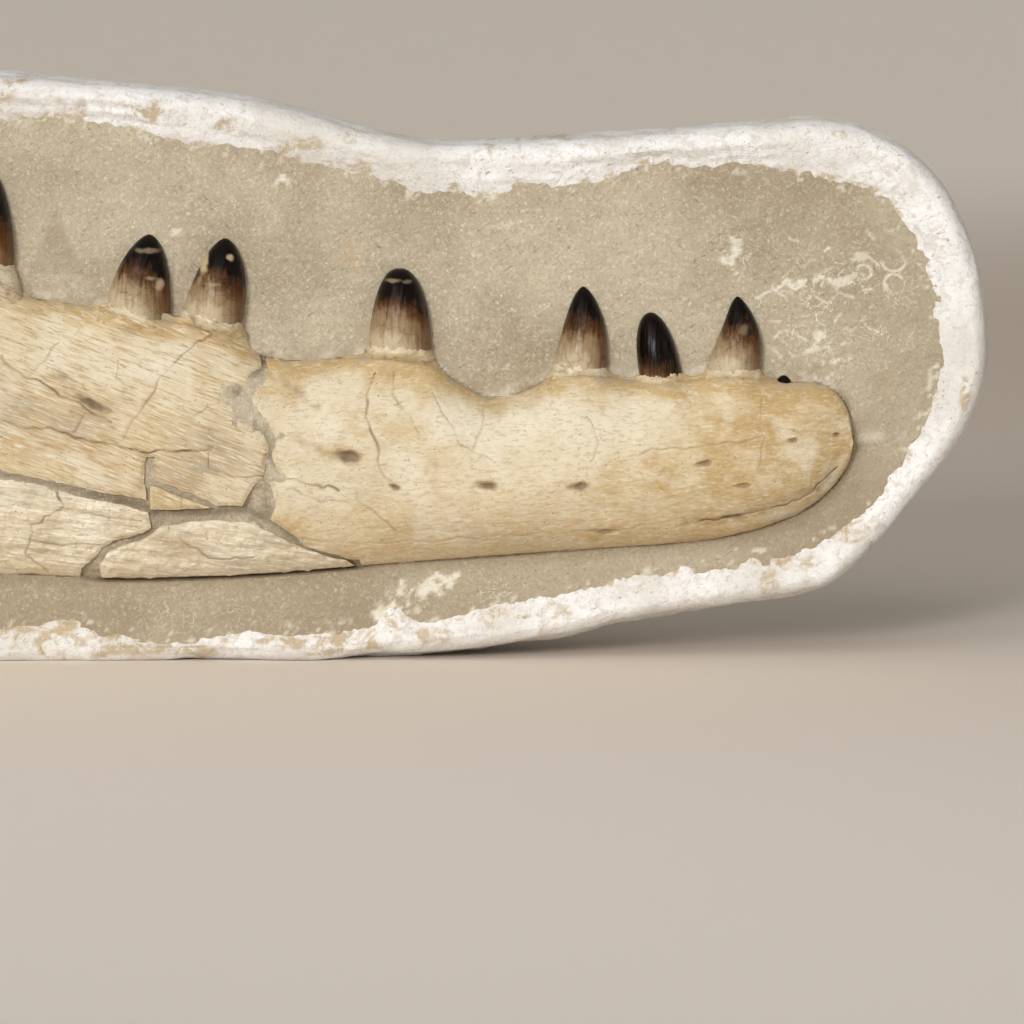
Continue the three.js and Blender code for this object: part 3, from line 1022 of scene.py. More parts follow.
@dataclass(frozen=True)
class BoneFinish:
    """Fossil bone: cream, stained ochre and brown, with a fibrous grain, and painted shade in its
    openings and grooves.
    """

    name: str
    pale: Colour = rgb(224, 213, 189)
    cream: Colour = rgb(212, 194, 158)
    ochre: Colour = rgb(190, 161, 112)
    fibre: Colour = rgb(170, 141, 99)
    brown: Colour = rgb(122, 96, 66)
    matrix: Colour = rgb(178, 162, 136)
    grain: Grain = Grain.LEVEL
    mottle: float = 0.2
    fibrous: float = 0.55

    def build(self) -> bpy.types.Material:
        """Makes the material.

        Returns:
            The material.
        """
        shader = Shader(self.name, 0.56, 0.36)
        shader.colour = self.cream
        degrees = self.grain.value
        splintery = self.fibrous > 0.7
        fine = (100, 400, 1050) if splintery else (230, 400, 760)
        broad = (30, 90, 170) if splintery else (66, 90, 118)
        fibre = shader.noise(1.0, 4, 0.62, shader.turned(fine, degrees), 0.6)
        streak = shader.noise(1.0, 5, 0.65, shader.turned(broad, degrees), 0.8)
        grit = shader.noise(480, 4, 0.7)
        shader.lay(shader.noise(18, 5, 0.6, swirl=0.8), 0.36, 0.64, 1.0, self.pale)
        ochre = shader.times(shader.mark("stain"), shader.between(streak, 0.1, 0.62))
        ochre = shader.math("ADD", ochre, shader.between(streak, 0.5, 0.8, 0.3))
        shader.cover(ochre, self.ochre)
        shader.cover(shader.mark("pale"), self.pale)
        # Grey matrix films, which also hold painted shade round the openings' cores
        film = shader.times(shader.mark("film"), shader.between(streak, 0.7, 0.4))
        shader.cover(film, self.matrix)
        shader.lay(fibre, 0.51, 0.66, 0.75 * self.fibrous, self.fibre)
        shader.lay(fibre, 0.48, 0.34, 0.85 * self.fibrous, self.pale)
        blotch = shader.noise(130, 5, 0.72, swirl=1.4)
        shader.lay(blotch, 0.52, 0.62, self.mottle, self.ochre)
        shader.lay(blotch, 0.64, 0.72, self.mottle, self.matrix)
        split = shader.between(fibre, 0.66, 0.74, 0.8 * self.fibrous)
        gate = shader.between(shader.noise(60, 3), 0.48, 0.6)
        shader.cover(shader.times(split, gate), self.brown)
        shader.lay(grit, 0.62, 0.72, 0.3, self.brown)
        speck = shader.between(shader.cells(330), 0.2, 0.08, 0.6)
        gate = shader.between(shader.noise(80, 2), 0.48, 0.6)
        shader.cover(shader.times(speck, gate), self.brown)
        shader.cover(shader.mark("wall"), self.matrix)
        # Cracks, and painted shade in the openings and grooves
        shader.cover(shader.mark("crack_and_shade"), self.brown)
        shader.bump(streak, 0.9 * self.fibrous, 0.6)
        shader.bump(fibre, 0.6, 0.8)
        shader.bump(grit, 0.25, 0.6)
        return shader.finish()


@dataclass(frozen=True)
class SedimentFinish:
    """Grey-tan phosphatic sediment, scraped flat, with cream specks and smears, and painted shade
    and shadow round, under and between the bones.
    """

    base: Colour = rgb(200, 187, 162)
    dark: Colour = rgb(162, 146, 121)
    light: Colour = rgb(236, 226, 206)
    pit: Colour = rgb(118, 101, 78)
    rust: Colour = rgb(206, 170, 122)
    cream: Colour = rgb(240, 233, 216)
    # The colour of the painted shadow in the gaps under and between the bones
    gap_shadow: Colour = rgb(70, 54, 38)

    def build(self) -> bpy.types.Material:
        """Makes the material.

        Returns:
            The material.
        """
        shader = Shader("sediment", 0.93, 0.18)
        shader.colour = self.base
        grit = shader.noise(520, 4, 0.75, swirl=0.6)
        straw = shader.noise(1.0, 3, 0.6, shader.turned((170, 500, 900), 34))
        chaff = shader.noise(1.0, 3, 0.6, shader.turned((170, 500, 900), -48))
        fleck = shader.math("MAXIMUM", straw, chaff)
        shader.lay(shader.noise(14, 5, 0.6), 0.35, 0.7, 0.8, self.dark)
        shader.lay(grit, 0.5, 0.72, 0.7, self.light)
        shader.lay(grit, 0.46, 0.3, 0.7, self.dark)
        shader.lay(fleck, 0.65, 0.75, 0.5, self.light)
        shader.lay(shader.math("MINIMUM", straw, chaff), 0.35, 0.27, 0.55, self.pit)
        speck = shader.between(shader.cells(230), 0.16, 0.1)
        gate = shader.between(shader.noise(50, 2), 0.55, 0.66, 0.7)
        shader.cover(shader.times(speck, gate), self.cream)
        shader.lay(shader.noise(24, 4, 0.65), 0.66, 0.76, 0.35, self.rust)
        # Painted shade round and under the jaw, a darker tone towards the right, and a tooth's faint
        # print
        shader.cover(shader.mark("shade"), self.dark)
        smear = shader.times(shader.mark("cream"), shader.between(grit, 0.24, 0.46))
        shader.cover(smear, self.cream)
        swirl = shader.noise(70, 3, 0.5, swirl=2.5)
        curl = shader.math("ABSOLUTE", shader.math("SUBTRACT", swirl, 0.5))
        curl = shader.times(shader.between(curl, 0.022, 0.008), shader.mark("shell"))
        gate = shader.between(shader.noise(90, 2), 0.46, 0.56)
        shader.cover(shader.times(curl, gate), self.cream)
        # Painted shadow and shade in the gaps under and between the bones
        shader.cover(shader.mark("gap_shadow"), self.gap_shadow)
        shader.bump(shader.noise(60, 6, 0.65), 1.8, 0.8)
        shader.bump(grit, 1.0, 0.9)
        shader.bump(fleck, 0.9, 0.8)
        return shader.finish()


@dataclass(frozen=True)
class PlasterFinish:
    """White plaster over burlap, with flecks of sediment in its pits."""

    white: Colour = rgb(249, 247, 245)
    warm: Colour = rgb(228, 223, 215)
    tan: Colour = rgb(192, 170, 132)
    pock: Colour = rgb(176, 156, 128)

    def build(self) -> bpy.types.Material:
        """Makes the material.

        Returns:
            The material.
        """
        shader = Shader("plaster", 0.85, 0.2)
        shader.colour = self.white
        brushed = shader.noise(1.0, 5, 0.65, shader.turned((45, 160, 260), -6))
        fine = shader.noise(430, 5, 0.72, swirl=0.8)
        lumps = shader.noise(170, 4, 0.65, swirl=1.0)
        shader.lay(shader.noise(22, 4), 0.4, 0.7, 1.0, self.warm)
        shader.lay(brushed, 0.45, 0.25, 0.7, self.warm)
        hollow = shader.noise(1.0, 3, 0.6, shader.turned((240, 500, 700), 30))
        pock = shader.between(hollow, 0.64, 0.68, 0.8)
        gate = shader.between(shader.noise(26, 3), 0.47, 0.6)
        shader.cover(shader.times(pock, gate), self.pock)
        shader.lay(fine, 0.48, 0.34, 0.7, self.warm)
        shader.lay(lumps, 0.5, 0.62, 1.0, self.warm)
        speck = shader.between(shader.cells(420), 0.18, 0.08, 0.8)
        gate = shader.between(shader.noise(70, 3), 0.46, 0.58)
        shader.cover(shader.times(speck, gate), self.pock)
        dusty = shader.between(shader.mark("dirt"), 0.0, 0.7)
        gate = shader.between(shader.noise(34, 4, 0.6), 0.54, 0.66)
        fleck = shader.between(fine, 0.55, 0.66, 0.8)
        shader.cover(shader.times(fleck, shader.math("MAXIMUM", gate, dusty)), self.tan)
        stain = shader.between(shader.noise(110, 6, 0.72, swirl=0.6), 0.42, 0.58, 0.85)
        film = shader.times(shader.times(dusty, stain), shader.between(fine, 0.26, 0.44))
        shader.cover(film, self.tan)
        shader.bump(shader.noise(48, 5, 0.6), 2.0, 0.6)
        shader.bump(lumps, 1.0, 0.5)
        shader.bump(brushed, 0.9, 0.6)
        shader.bump(fine, 1.4, 0.7)
        shader.bump(pock, -0.9, 0.6)
        return shader.finish()


@dataclass(frozen=True)
class EnamelFinish:
    """Glossy enamel: near black at the tip, brown below, and cream at the base, and painted darker
    on its right side as painted shade.
    """

    black: Colour = rgb(12, 6, 4)
    brown: Colour = rgb(84, 56, 33)
    horn: Colour = rgb(150, 127, 96)
    amber: Colour = rgb(96, 57, 26)
    base: Colour = rgb(190, 173, 144)
    chip: Colour = rgb(200, 178, 142)

    def build(self) -> bpy.types.Material:
        """Makes the material.

        Returns:
            The material.
        """
        shader = Shader("enamel", 0.3, 0.12)
        shader.colour = self.base
        ridge = shader.noise(1.0, 4, 0.6, shader.turned((620, 300, 26)))
        cloud = shader.noise(110, 4, 0.65)
        shift = shader.times(shader.math("SUBTRACT", ridge, 0.5), 0.42)
        drift = shader.times(shader.math("SUBTRACT", cloud, 0.5), 0.5)
        level = shader.mark("rise")
        # The right side is painted darker, as painted shade
        for change in (shift, drift, shader.times(shader.mark("side"), 0.14)):
            level = shader.math("ADD", level, change)
        shader.lay(level, 0.02, 0.3, 1.0, self.horn)
        shader.lay(level, 0.28, 0.52, 1.0, self.brown)
        shader.lay(level, 0.46, 0.74, 1.0, self.black)
        # Amber towards the right margin
        warm = shader.times(shader.mark("side"), shader.between(level, 0.75, 0.4, 0.7))
        shader.cover(warm, self.amber)
        vein = shader.between(shader.cells(150, "DISTANCE_TO_EDGE"), 0.03, 0.0, 0.5)
        shader.cover(shader.times(vein, shader.between(cloud, 0.42, 0.56)), self.black)
        shader.cover(shader.mark("chip"), self.chip)
        rough = shader.math("ADD", 0.28, shader.times(shader.mark("chip"), 0.4))
        rough = shader.math("ADD", rough, shader.between(cloud, 0.45, 0.7, 0.16))
        shader.put(shader.surface.inputs["Roughness"], rough)
        shader.bump(ridge, 0.35, 0.4)
        shader.bump(shader.noise(500, 4, 0.6), 0.12, 0.5)
        return shader.finish()


@dataclass
class Bone:
    """One bone as a relief: a fine sheet over its outline, closed behind it in the sediment."""

    name: str
    outline: Line
    material: bpy.types.Material
    slot: str = "bone"
    step: float = 1.6
    seed: int = 1
    sway: float = 0.7
    lift: float = 0.0
    cracks: list[Crack] = field(default_factory=list)
    pits: list[Spot] = field(default_factory=list)
    grooves: list[Line] = field(default_factory=list)
    bulges: list[Spot] = field(default_factory=list)
    grain: Grain = Grain.LEVEL
    chips: float = 0.9
    lumps: float = 0.22

    CRACK_CUT = 1.5
    PIT_CUT = 4.0
    GROOVE_CUT = 1.2
    EDGE_CUT = 1.2
    LOWEST = 0.8

    def crack_depth(self, x: np.ndarray, z: np.ndarray) -> np.ndarray:
        """Gives how deep the cracks are.

        Args:
            x: places along the jaw.
            z: their heights.

        Returns:
            Depths from 0 to 1.
        """
        deep = np.zeros(x.shape)
        for k, (strength, line) in enumerate(self.cracks):
            noise = Noise(self.seed + k)
            near = line_distance(x, z, ragged(line, 1.4, self.seed + k))
            width = 0.45 + 0.2 * noise.at(x, z, 9)
            share = 0.5 + 0.5 * smooth_step(-0.5, 0.4, noise.at(x + 50, z, 8))
            deep = np.maximum(deep, strength * share * np.exp(-((near / width) ** 2)))
        return deep

    def pit_depth(self, x: np.ndarray, z: np.ndarray) -> np.ndarray:
        """Gives how deep the openings are.

        Args:
            x: places along the jaw.
            z: their heights.

        Returns:
            Depths from 0 to 1.
        """
        deep = np.zeros(x.shape)
        for px, pz, wide, high, slope in self.pits:
            along = (x - px) / wide
            tail = np.where(along < 0, 0.7, 1.3)
            across = (z - pz - slope * (x - px)) / high
            across += 0.25 * Noise(self.seed).at(x, z, 3)
            pit = 1 - smooth_step(0.2, 1.05, np.hypot(along * tail, across))
            deep = np.maximum(deep, pit * min(1, 0.35 + high / 4))
        return deep

    def height(self, x: np.ndarray, z: np.ndarray, edge: Line) -> np.ndarray:
        """Gives the finished height of the bone over the sediment.

        Args:
            x: places along the jaw.
            z: their heights.
            edge: the bone's ragged outline.

        Returns:
            Heights in millimetres.
        """
        noise = Noise(self.seed)
        turn = math.radians(self.grain.value)
        along = x * math.cos(turn) + z * math.sin(turn)
        across = z * math.cos(turn) - x * math.sin(turn)
        high = dome(x, z) + self.lift - 0.6
        inner = smooth_step(0, 9, jaw_margin(x, z))
        high += inner * noise.layered(x, z, 26, 2) * 0.9
        high += inner * noise.layered(along, across, 3.2, 3, 5.0) * self.lumps
        high += noise.layered(x + 60, z, 4, 3) * self.lumps * 0.6
        for bx, bz, wide in self.bulges:
            reach = np.abs((x - bx) / (0.62 * wide)) ** 3 + ((z - bz + 2.5) / 8) ** 2
            high += 0.4 * wide * np.exp(-reach)
        high -= self.crack_depth(x, z) * self.CRACK_CUT
        high -= self.pit_depth(x, z) * self.PIT_CUT
        for line in self.grooves:
            near = line_distance(x, z, ragged(line, 1.2, self.seed))
            high -= self.GROOVE_CUT * np.exp(-((near / 3.0) ** 2))
        near = line_distance(x, z, edge, True)
        high -= self.EDGE_CUT * np.exp(-((near / 1.1) ** 2))
        chipped = smooth_step(0.1, 0.35, noise.at(x, z, 6)) * (1 - smooth_step(1.5, 4.5, near))
        high -= self.chips * chipped
        return np.maximum(high, self.LOWEST)

    def build(self) -> bpy.types.Object:
        """Makes the bone.

        Returns:
            The finished piece.
        """
        edge = ragged(self.outline, self.sway, self.seed, True)
        xs = [x for x, _ in edge]
        low = max(min(xs) - 2, JAW_TOP[0][0])
        far = min(max(xs) + 2, JAW_TOP[-1][0])
        steps = [low]
        while steps[-1] < far:
            fine = steps[-1] > SHOWN_FROM
            steps.append(steps[-1] + (self.step if fine else max(self.step, COARSE_STEP)))
        line_x = np.array(steps[:-1] + [far])
        top, bottom = value_at(JAW_TOP, line_x), value_at(JAW_BOTTOM, line_x)
        rows = int(np.max(top - bottom) / self.step) + 1
        even = np.linspace(0, 1, rows)
        share = 0.55 * even + 0.45 * (0.5 - 0.5 * np.cos(np.pi * even))
        sway = Noise(self.seed + 5)
        top = top + 0.8 * sway.layered(line_x, line_x * 0, 7, 3)
        for bx, _, wide in self.bulges:
            top = top + 4.2 * np.exp(-(((line_x - bx) / (0.6 * wide)) ** 4))
        bottom = bottom + 0.5 * sway.layered(line_x, line_x * 0 + 50, 6, 3)
        z = bottom[None, :] + share[:, None] * (top - bottom)[None, :]
        x = np.broadcast_to(line_x, z.shape)
        points = np.stack([x, FACE_Y - self.height(x, z, edge), z], axis=-1)
        piece = grid_sheet(f"{self.name}_bone", points)
        close_behind(piece, BONE_ROOT_Y)
        keep_inside(piece, edge)
        self.write_marks(piece, edge)
        piece.data.materials.clear()
        piece.data.materials.append(self.material)
        finish_piece(piece, [self.name])
        return piece

    def spots(self, rows: list[Spot], x: np.ndarray, z: np.ndarray) -> np.ndarray:
        """Adds up soft spots.

        Args:
            rows: a row a spot, of x, z, half width, half height and strength.
            x: places along the jaw.
            z: their heights.

        Returns:
            Strengths from 0 to 1.
        """
        total = np.zeros(x.shape)
        blur = Noise(self.seed + 4).layered(x, z, 14, 3)
        for px, pz, wide, high, strength in rows:
            reach = ((x - px) / wide) ** 2 + ((z - pz) / high) ** 2
            total += strength * np.exp(-reach) * (1 + 0.8 * blur)
        return np.clip(total, 0, 1)

    def write_marks(self, piece: bpy.types.Object, edge: Line) -> None:
        """Stores where the bone is cracked, stained, pale or dirty, and where its openings and
        grooves are painted darker as painted shade.

        Args:
            piece: the bone.
            edge: its ragged outline.
        """
        x, y, z = get_points(piece).T
        noise = Noise(self.seed + 9)
        speckle = 0.75 + 0.25 * noise.layered(x, z, 2.5, 2)
        pit = self.pit_depth(x, z)
        # Cracks, and the openings painted darker towards their cores as painted shade in the hollows
        crack_and_shade = np.maximum(self.crack_depth(x, z) * 0.95, (0.2 * pit + 0.6 * pit**2) * speckle)
        # The grooves are painted brown inside, as painted shade
        for line in self.grooves:
            near = line_distance(x, z, ragged(line, 1.2, self.seed))
            share = 0.3 + 0.3 * noise.layered(x, z, 4, 2)
            crack_and_shade = np.maximum(crack_and_shade, share * np.exp(-((near / 1.9) ** 2)))
        write_mark(piece, "crack_and_shade", crack_and_shade)
        behind = (y - (FACE_Y - dome(x, z))) - 2.8
        wall = smooth_step(0, 1.5, behind) * (jaw_margin(x, z) > 1.5)
        smear = smooth_step(0.0, 0.5, noise.layered(x, z + 70, 5, 3))
        smear *= 1 - smooth_step(0.5, 4.5, value_at(JAW_TOP, x) - z)
        write_mark(piece, "wall", np.maximum(wall, 0.8 * smear))
        stain = 0.45 * smooth_step(0.0, 0.9, noise.layered(x, z, 26, 3))
        above = value_at(JAW_TOP, x) - z
        share = above / (value_at(JAW_TOP, x) - value_at(JAW_BOTTOM, x))
        # More ochre towards the jaw's lower border
        stain += 0.55 * smooth_step(0.55, 1.0, share)
        stain += 0.75 * (1 - smooth_step(3, 11, above + 3 * noise.layered(x, z, 9, 2)))
        write_mark(piece, "stain", stain + self.spots(STAINS, x, z))
        pale = 0.4 * smooth_step(0.3, 1.0, noise.layered(x + 300, z, 9, 3))
        write_mark(piece, "pale", pale + self.spots(PALE_SPOTS, x, z) - 0.5 * stain)
        # Grey matrix films, and painted shade round the openings' cores
        write_mark(piece, "film", self.spots(FILMS, x, z) + 0.8 * pit)


@dataclass
class Tooth:
    """A crown of dark enamel with a collar of bone round its base."""

    name: str
    x: float
    z: float
    width: float
    height: float
    lean: float
    power: float = 2.0
    blunt: float = 0.6
    bow: float = 0.0
    slope: float = 0.0
    seed: int = 1
    node: str = "dentary_front"
    root: float = 13.0
    flare: float = 0.32
    dark: float = 0.0
    chips: list[Spot] = field(default_factory=list)

    RELIEF = 0.6
    FRONT_STEPS = 44

    def section(self, half: np.ndarray, out: np.ndarray) -> tuple[np.ndarray, np.ndarray]:
        """Lays out one ring a row: half an ellipse in front, closed by a straight back.

        Args:
            half: half the width of each ring.
            out: how far each ring stands out.

        Returns:
            The side and depth of each point, with the first point repeated at the end.
        """
        angle = np.linspace(0, np.pi, self.FRONT_STEPS)
        side = half[:, None] * np.cos(angle)[None, :]
        depth = -out[:, None] * np.sin(angle)[None, :] ** 0.85
        back_side = half[:, None] * np.array([-1.0, -0.35, 0.35, 1.0])[None, :]
        back = np.full(back_side.shape, BONE_ROOT_Y - FACE_Y)
        side = np.hstack([side, back_side, side[:, :1]])
        return side, np.hstack([depth, back, depth[:, :1]])

    def crown(self, material: bpy.types.Material) -> None:
        """Makes the crown.

        Args:
            material: its enamel.
        """
        rows = 70
        t = np.concatenate([[-0.1, -0.05], np.sin(np.linspace(0, 1, rows) * np.pi / 2)])
        share = np.clip(1 - np.clip(t, 0, 1) ** self.power, 0, 1) ** self.blunt
        half = 0.5 * self.width * share
        side, depth = self.section(half, self.RELIEF * self.width * share)
        ridge = 1 + 0.014 * np.sin(side / self.width * 70 + 4 * np.sin(5 * t)[:, None])
        depth = np.where(depth < 0, depth * ridge, depth)
        centre = self.x + self.lean * t + self.bow * np.sin(np.pi * np.clip(t, 0, 1))
        x = centre[:, None] + side
        z = self.z + self.height * t[:, None] + self.slope * side * (1 - t[:, None])
        points = np.stack([x, FACE_Y - 0.5 + depth, z], axis=-1)
        pole = points[-1].mean(axis=0)
        base = np.broadcast_to(points[0].mean(axis=0), points[:1].shape)
        points = np.concatenate([base, points[:-1], np.broadcast_to(pole, points[:1].shape)])
        piece = grid_sheet(f"{self.name}_crown", points)
        weld(piece)
        where = get_points(piece)
        rise = (where[:, 2] - self.z - self.slope * (where[:, 0] - self.x)) / self.height
        write_mark(piece, "rise", rise + self.dark * (1 - 0.5 * rise))
        middle = self.x + self.lean * np.clip(rise, 0, 1)
        # The right side, which the enamel paints darker as painted shade
        write_mark(piece, "side", smooth_step(0.0, 0.5 * self.width, where[:, 0] - middle))
        chip = np.zeros(len(where))
        for cx, cz, wide, high, strength in self.chips:
            reach = np.hypot((where[:, 0] - cx) / wide, (where[:, 2] - cz) / high)
            reach += 0.25 * Noise(self.seed).layered(where[:, 0], where[:, 2], 2.2, 2)
            chip = np.maximum(chip, strength * (1 - smooth_step(0.5, 1.15, reach)))
        write_mark(piece, "chip", chip)
        piece.data.materials.append(material)
        finish_piece(piece, [self.node], 60)

    def collar(self, material: bpy.types.Material) -> None:
        """Makes the root and the ragged collar of bone at the crown's base.

        Args:
            material: its bone.
        """
        t = np.linspace(0, 1, 34)
        rise = -self.root + (self.root + 2.5) * t
        close = 1.035 - 0.1 * smooth_step(0.5, 1, t) + self.flare * (1 - t) ** 1.5
        sink = 0.25 + 0.75 * smooth_step(0, 0.75, t)
        wide = self.width * close
        side, depth = self.section(0.5 * wide, self.RELIEF * wide * sink)
        x = self.x + side
        z = self.z + rise[:, None] + self.slope * side
        noise = Noise(self.seed + 20)
        z = z + noise.layered(x, z * 0.3, 5, 3) * 1.5 * t[:, None] ** 2
        lump = noise.layered(x, z, 4, 3) * 0.6
        depth = np.where(depth < -1, depth - lump, depth)
        points = np.stack([x, FACE_Y - 0.5 + depth, z], axis=-1)
        ends = [np.broadcast_to(points[k].mean(axis=0), points[:1].shape) for k in (0, -1)]
        points = np.concatenate([ends[0], points, ends[1]])
        piece = grid_sheet(f"{self.name}_root", points)
        weld(piece)
        x, _, z = get_points(piece).T
        write_mark(piece, "crack_and_shade", 0.5 * smooth_step(0.3, 0.9, noise.layered(x, z, 2.5, 2)))
        write_mark(piece, "wall", 0.35 * smooth_step(0.1, 0.8, noise.layered(x + 9, z, 4, 2)))
        write_mark(piece, "stain", 0.8 * smooth_step(-0.2, 0.6, noise.layered(x + 40, z, 7, 2)))
        pale = smooth_step(-7, 0, z - self.z + 3 * noise.layered(x, z + 5, 5, 2))
        write_mark(piece, "pale", 0.3 * pale)
        write_mark(piece, "film", np.zeros(len(x)))
        piece.data.materials.append(material)
        finish_piece(piece, [self.node], 60)


@dataclass
class Sediment:
    """The block of sediment: a scraped face, and a plain body inside the jacket."""

    seed: int = 40
    fine_step: float = 1.8
    coarse_step: float = 9.0
    shell_step: float = 0.75
    fine_from: float = 50.0
    shell_x: tuple[float, float] = (440.0, 512.0)
    shell_z: tuple[float, float] = (146.0, 214.0)
    smear_z: tuple[float, float] = (38.0, 56.0)
    ends: tuple[float, float] = (-536.0, 537.0)
    levels: tuple[float, float] = (5.0, 318.0)
    lowest: float = 8.0
    cut_inset: float = 14.0
    depth: float = 57.9
    pocks: int = 220
    shell_bits: int = 34

    def height(self, x: np.ndarray, z: np.ndarray) -> np.ndarray:
        """Gives how far the sediment stands out of its plain face.

        Args:
            x: places along the jaw.
            z: their heights.

        Returns:
            Heights in millimetres.
        """
        noise = Noise(self.seed)
        high = 0.9 * noise.layered(x, z, 38, 2) + 0.35 * noise.layered(x, z, 9, 3)
        high += 0.25 * noise.layered(x, z, 4, 2, 3.0)
        draw = np.random.default_rng(self.seed)
        for _ in range(self.pocks):
            px, pz = draw.uniform(40, 530), draw.uniform(15, 265)
            size, deep = draw.uniform(0.8, 2.6), draw.uniform(0.3, 1.1)
            high -= deep * np.exp(-(((x - px) ** 2 + (z - pz) ** 2) / size**2))
        margin = jaw_margin(x, z)
        high += 1.6 * np.exp(-((margin / 3.5) ** 2)) * (margin < 0)
        under = np.abs(z - value_at(JAW_BOTTOM, x) + 0.9)
        shown = smooth_step(80, 105, x) * (1 - 0.65 * smooth_step(228, 240, x))
        shown *= 1 - smooth_step(450, 474, x)
        high -= 3.5 * shown * np.exp(-((under / 1.1) ** 2))
        near = np.full(x.shape, np.inf)
        for line in BREAKS:
            near = np.minimum(near, line_distance(x, z, line))
        fill = dome(x, z) - 2.2 + 1.1 * noise.layered(x + 90, z, 6, 3)
        fill -= 3.2 * (1 - smooth_step(80, 95, z))
        share = (1 - smooth_step(9, 18, near)) * smooth_step(0.5, 5, margin)
        return np.where(share > 0, np.maximum(high, high * (1 - share) + fill * share), high)

    def build(self, material: bpy.types.Material) -> None:
        """Makes the block.

        Args:
            material: its finish.
        """
        line_x = np.concatenate([
            np.arange(self.ends[0], self.fine_from, self.coarse_step),
            np.arange(self.fine_from, self.shell_x[0], self.fine_step),
            np.arange(self.shell_x[0], self.shell_x[1], self.shell_step),
            np.arange(self.shell_x[1], self.ends[1], self.fine_step),
        ])
        line_z = np.concatenate([
            np.arange(self.levels[0], self.smear_z[0], self.fine_step),
            np.arange(self.smear_z[0], self.smear_z[1], self.shell_step),
            np.arange(self.smear_z[1], self.shell_z[0], self.fine_step),
            np.arange(self.shell_z[0], self.shell_z[1], self.shell_step),
            np.arange(self.shell_z[1], self.levels[1], self.fine_step),
        ])
        z, x = np.meshgrid(line_z, line_x, indexing="ij")
        points = np.stack([x, FACE_Y - self.height(x, z), z], axis=-1)
        piece = grid_sheet("sediment_block", points)
        close_behind(piece, FACE_Y + self.depth)
        line = JacketShape().line(3.0, 6.0)
        outline = [(p[0] - self.cut_inset * p[2], p[1] - self.cut_inset * p[3]) for p in line]
        keep_inside(piece, [(x, max(z, self.lowest)) for x, z in outline])
        x, _, z = get_points(piece).T
        write_mark(piece, "cream", self.cream(x, z))
        write_mark(piece, "shade", self.shade(x, z))
        write_mark(piece, "shell", self.shell(x, z))
        # Painted shadow in a thin line under the jaw's lower border, and painted shade along the
        # seam under the rear tooth bone and in the break between the tooth bones
        under = np.abs(z - value_at(JAW_BOTTOM, x) + 0.9)
        gap_shadow = smooth_step(90, 108, x) * (1 - 0.75 * smooth_step(228, 240, x))
        gap_shadow *= (1 - smooth_step(450, 474, x)) * np.exp(-((under / 1.0) ** 2))
        seam_shade = 0.5 * np.exp(-((line_distance(x, z, SEAM) / 2.2) ** 2))
        break_shade = smooth_step(-0.3, 0.5, Noise(self.seed + 5).layered(x, z, 5, 3))
        break_shade *= 0.45 * np.exp(-((line_distance(x, z, BREAK_MIDDLE) / 4.5) ** 2))
        write_mark(piece, "gap_shadow", np.maximum(0.9 * gap_shadow, np.maximum(seam_shade, break_shade)))
        piece.data.materials.clear()
        piece.data.materials.append(material)
        finish_piece(piece, ["sediment"])

    def cream(self, x: np.ndarray, z: np.ndarray) -> np.ndarray:
        """Gives where plaster smears and bits of shell whiten the sediment.

        Args:
            x: places along the jaw.
            z: their heights.

        Returns:
            Strengths from 0 to 1.
        """
        noise = Noise(self.seed + 3)
        cream = np.zeros(x.shape)
        for px, pz, wide, high, strength in CREAM_PATCHES:
            lean = 0.2 * (x - px)
            reach = np.sqrt(((x - px) / wide) ** 2 + ((z - pz - lean) / high) ** 2)
            reach = reach + 0.8 * noise.layered(x, z, 3.5, 3)
            cream = np.maximum(cream, strength * (1 - smooth_step(0.5, 1.0, reach)))
        for px, pz, radius in SHELL_RINGS:
            ring = np.abs(np.hypot(x - px, (z - pz) * 1.1) - radius)
            part = smooth_step(-0.4, 0.2, noise.at(x, z, 8))
            cream = np.maximum(cream, 0.75 * part * (1 - smooth_step(0.3, 1.1, ring)))
        draw = np.random.default_rng(self.seed + 1)
        for _ in range(self.shell_bits):
            px, pz = draw.normal(462, 20), draw.normal(182, 26)
            angle, length = draw.uniform(-1.1, 1.0), draw.uniform(2, 8)
            end = (px + length * math.cos(angle), pz + length * math.sin(angle))
            near = line_distance(x, z, ragged([(px, pz), end], 1.5, self.seed))
            faint = draw.uniform(0.25, 0.8)
            cream = np.maximum(cream, faint * (1 - smooth_step(0.2, 1.0, near)))
        border = line_distance(x, z, PLASTER_LINE, True)
        scatter = smooth_step(0.5, 0.8, noise.layered(x, z, 3, 3))
        scatter = scatter * (1 - smooth_step(2, 7, border))
        above = z - value_at(JAW_TOP, x) + 1.5 * noise.layered(x, z, 9, 2)
        rim = smooth_step(-0.2, 0.5, noise.layered(x + 20, z, 9, 3))
        rim = rim * np.exp(-(((above - 2) / 2.5) ** 2))
        return np.maximum(cream, np.maximum(0.7 * scatter, 0.4 * rim * (jaw_margin(x, z) < 1)))

    def shell(self, x: np.ndarray, z: np.ndarray) -> np.ndarray:
        """Gives where curls of crushed shell lie in the sediment.

        Args:
            x: places along the jaw.
            z: their heights.

        Returns:
            Strengths from 0 to 1.
        """
        shell = np.full(x.shape, 0.08)
        for px, pz, wide, high, strength in SHELL_PATCHES:
            reach = ((x - px) / wide) ** 2 + ((z - pz) / high) ** 2
            shell = np.maximum(shell, strength * np.exp(-reach))
        return shell

    def shade(self, x: np.ndarray, z: np.ndarray) -> np.ndarray:
        """Gives where the sediment is darker: painted shade round the jaw's borders and a painted
        shadow under it, a darker tone towards the right, and a tooth's faint print.

        Args:
            x: places along the jaw.
            z: their heights.

        Returns:
            Strengths, which are cut off at 1 when they are stored.
        """
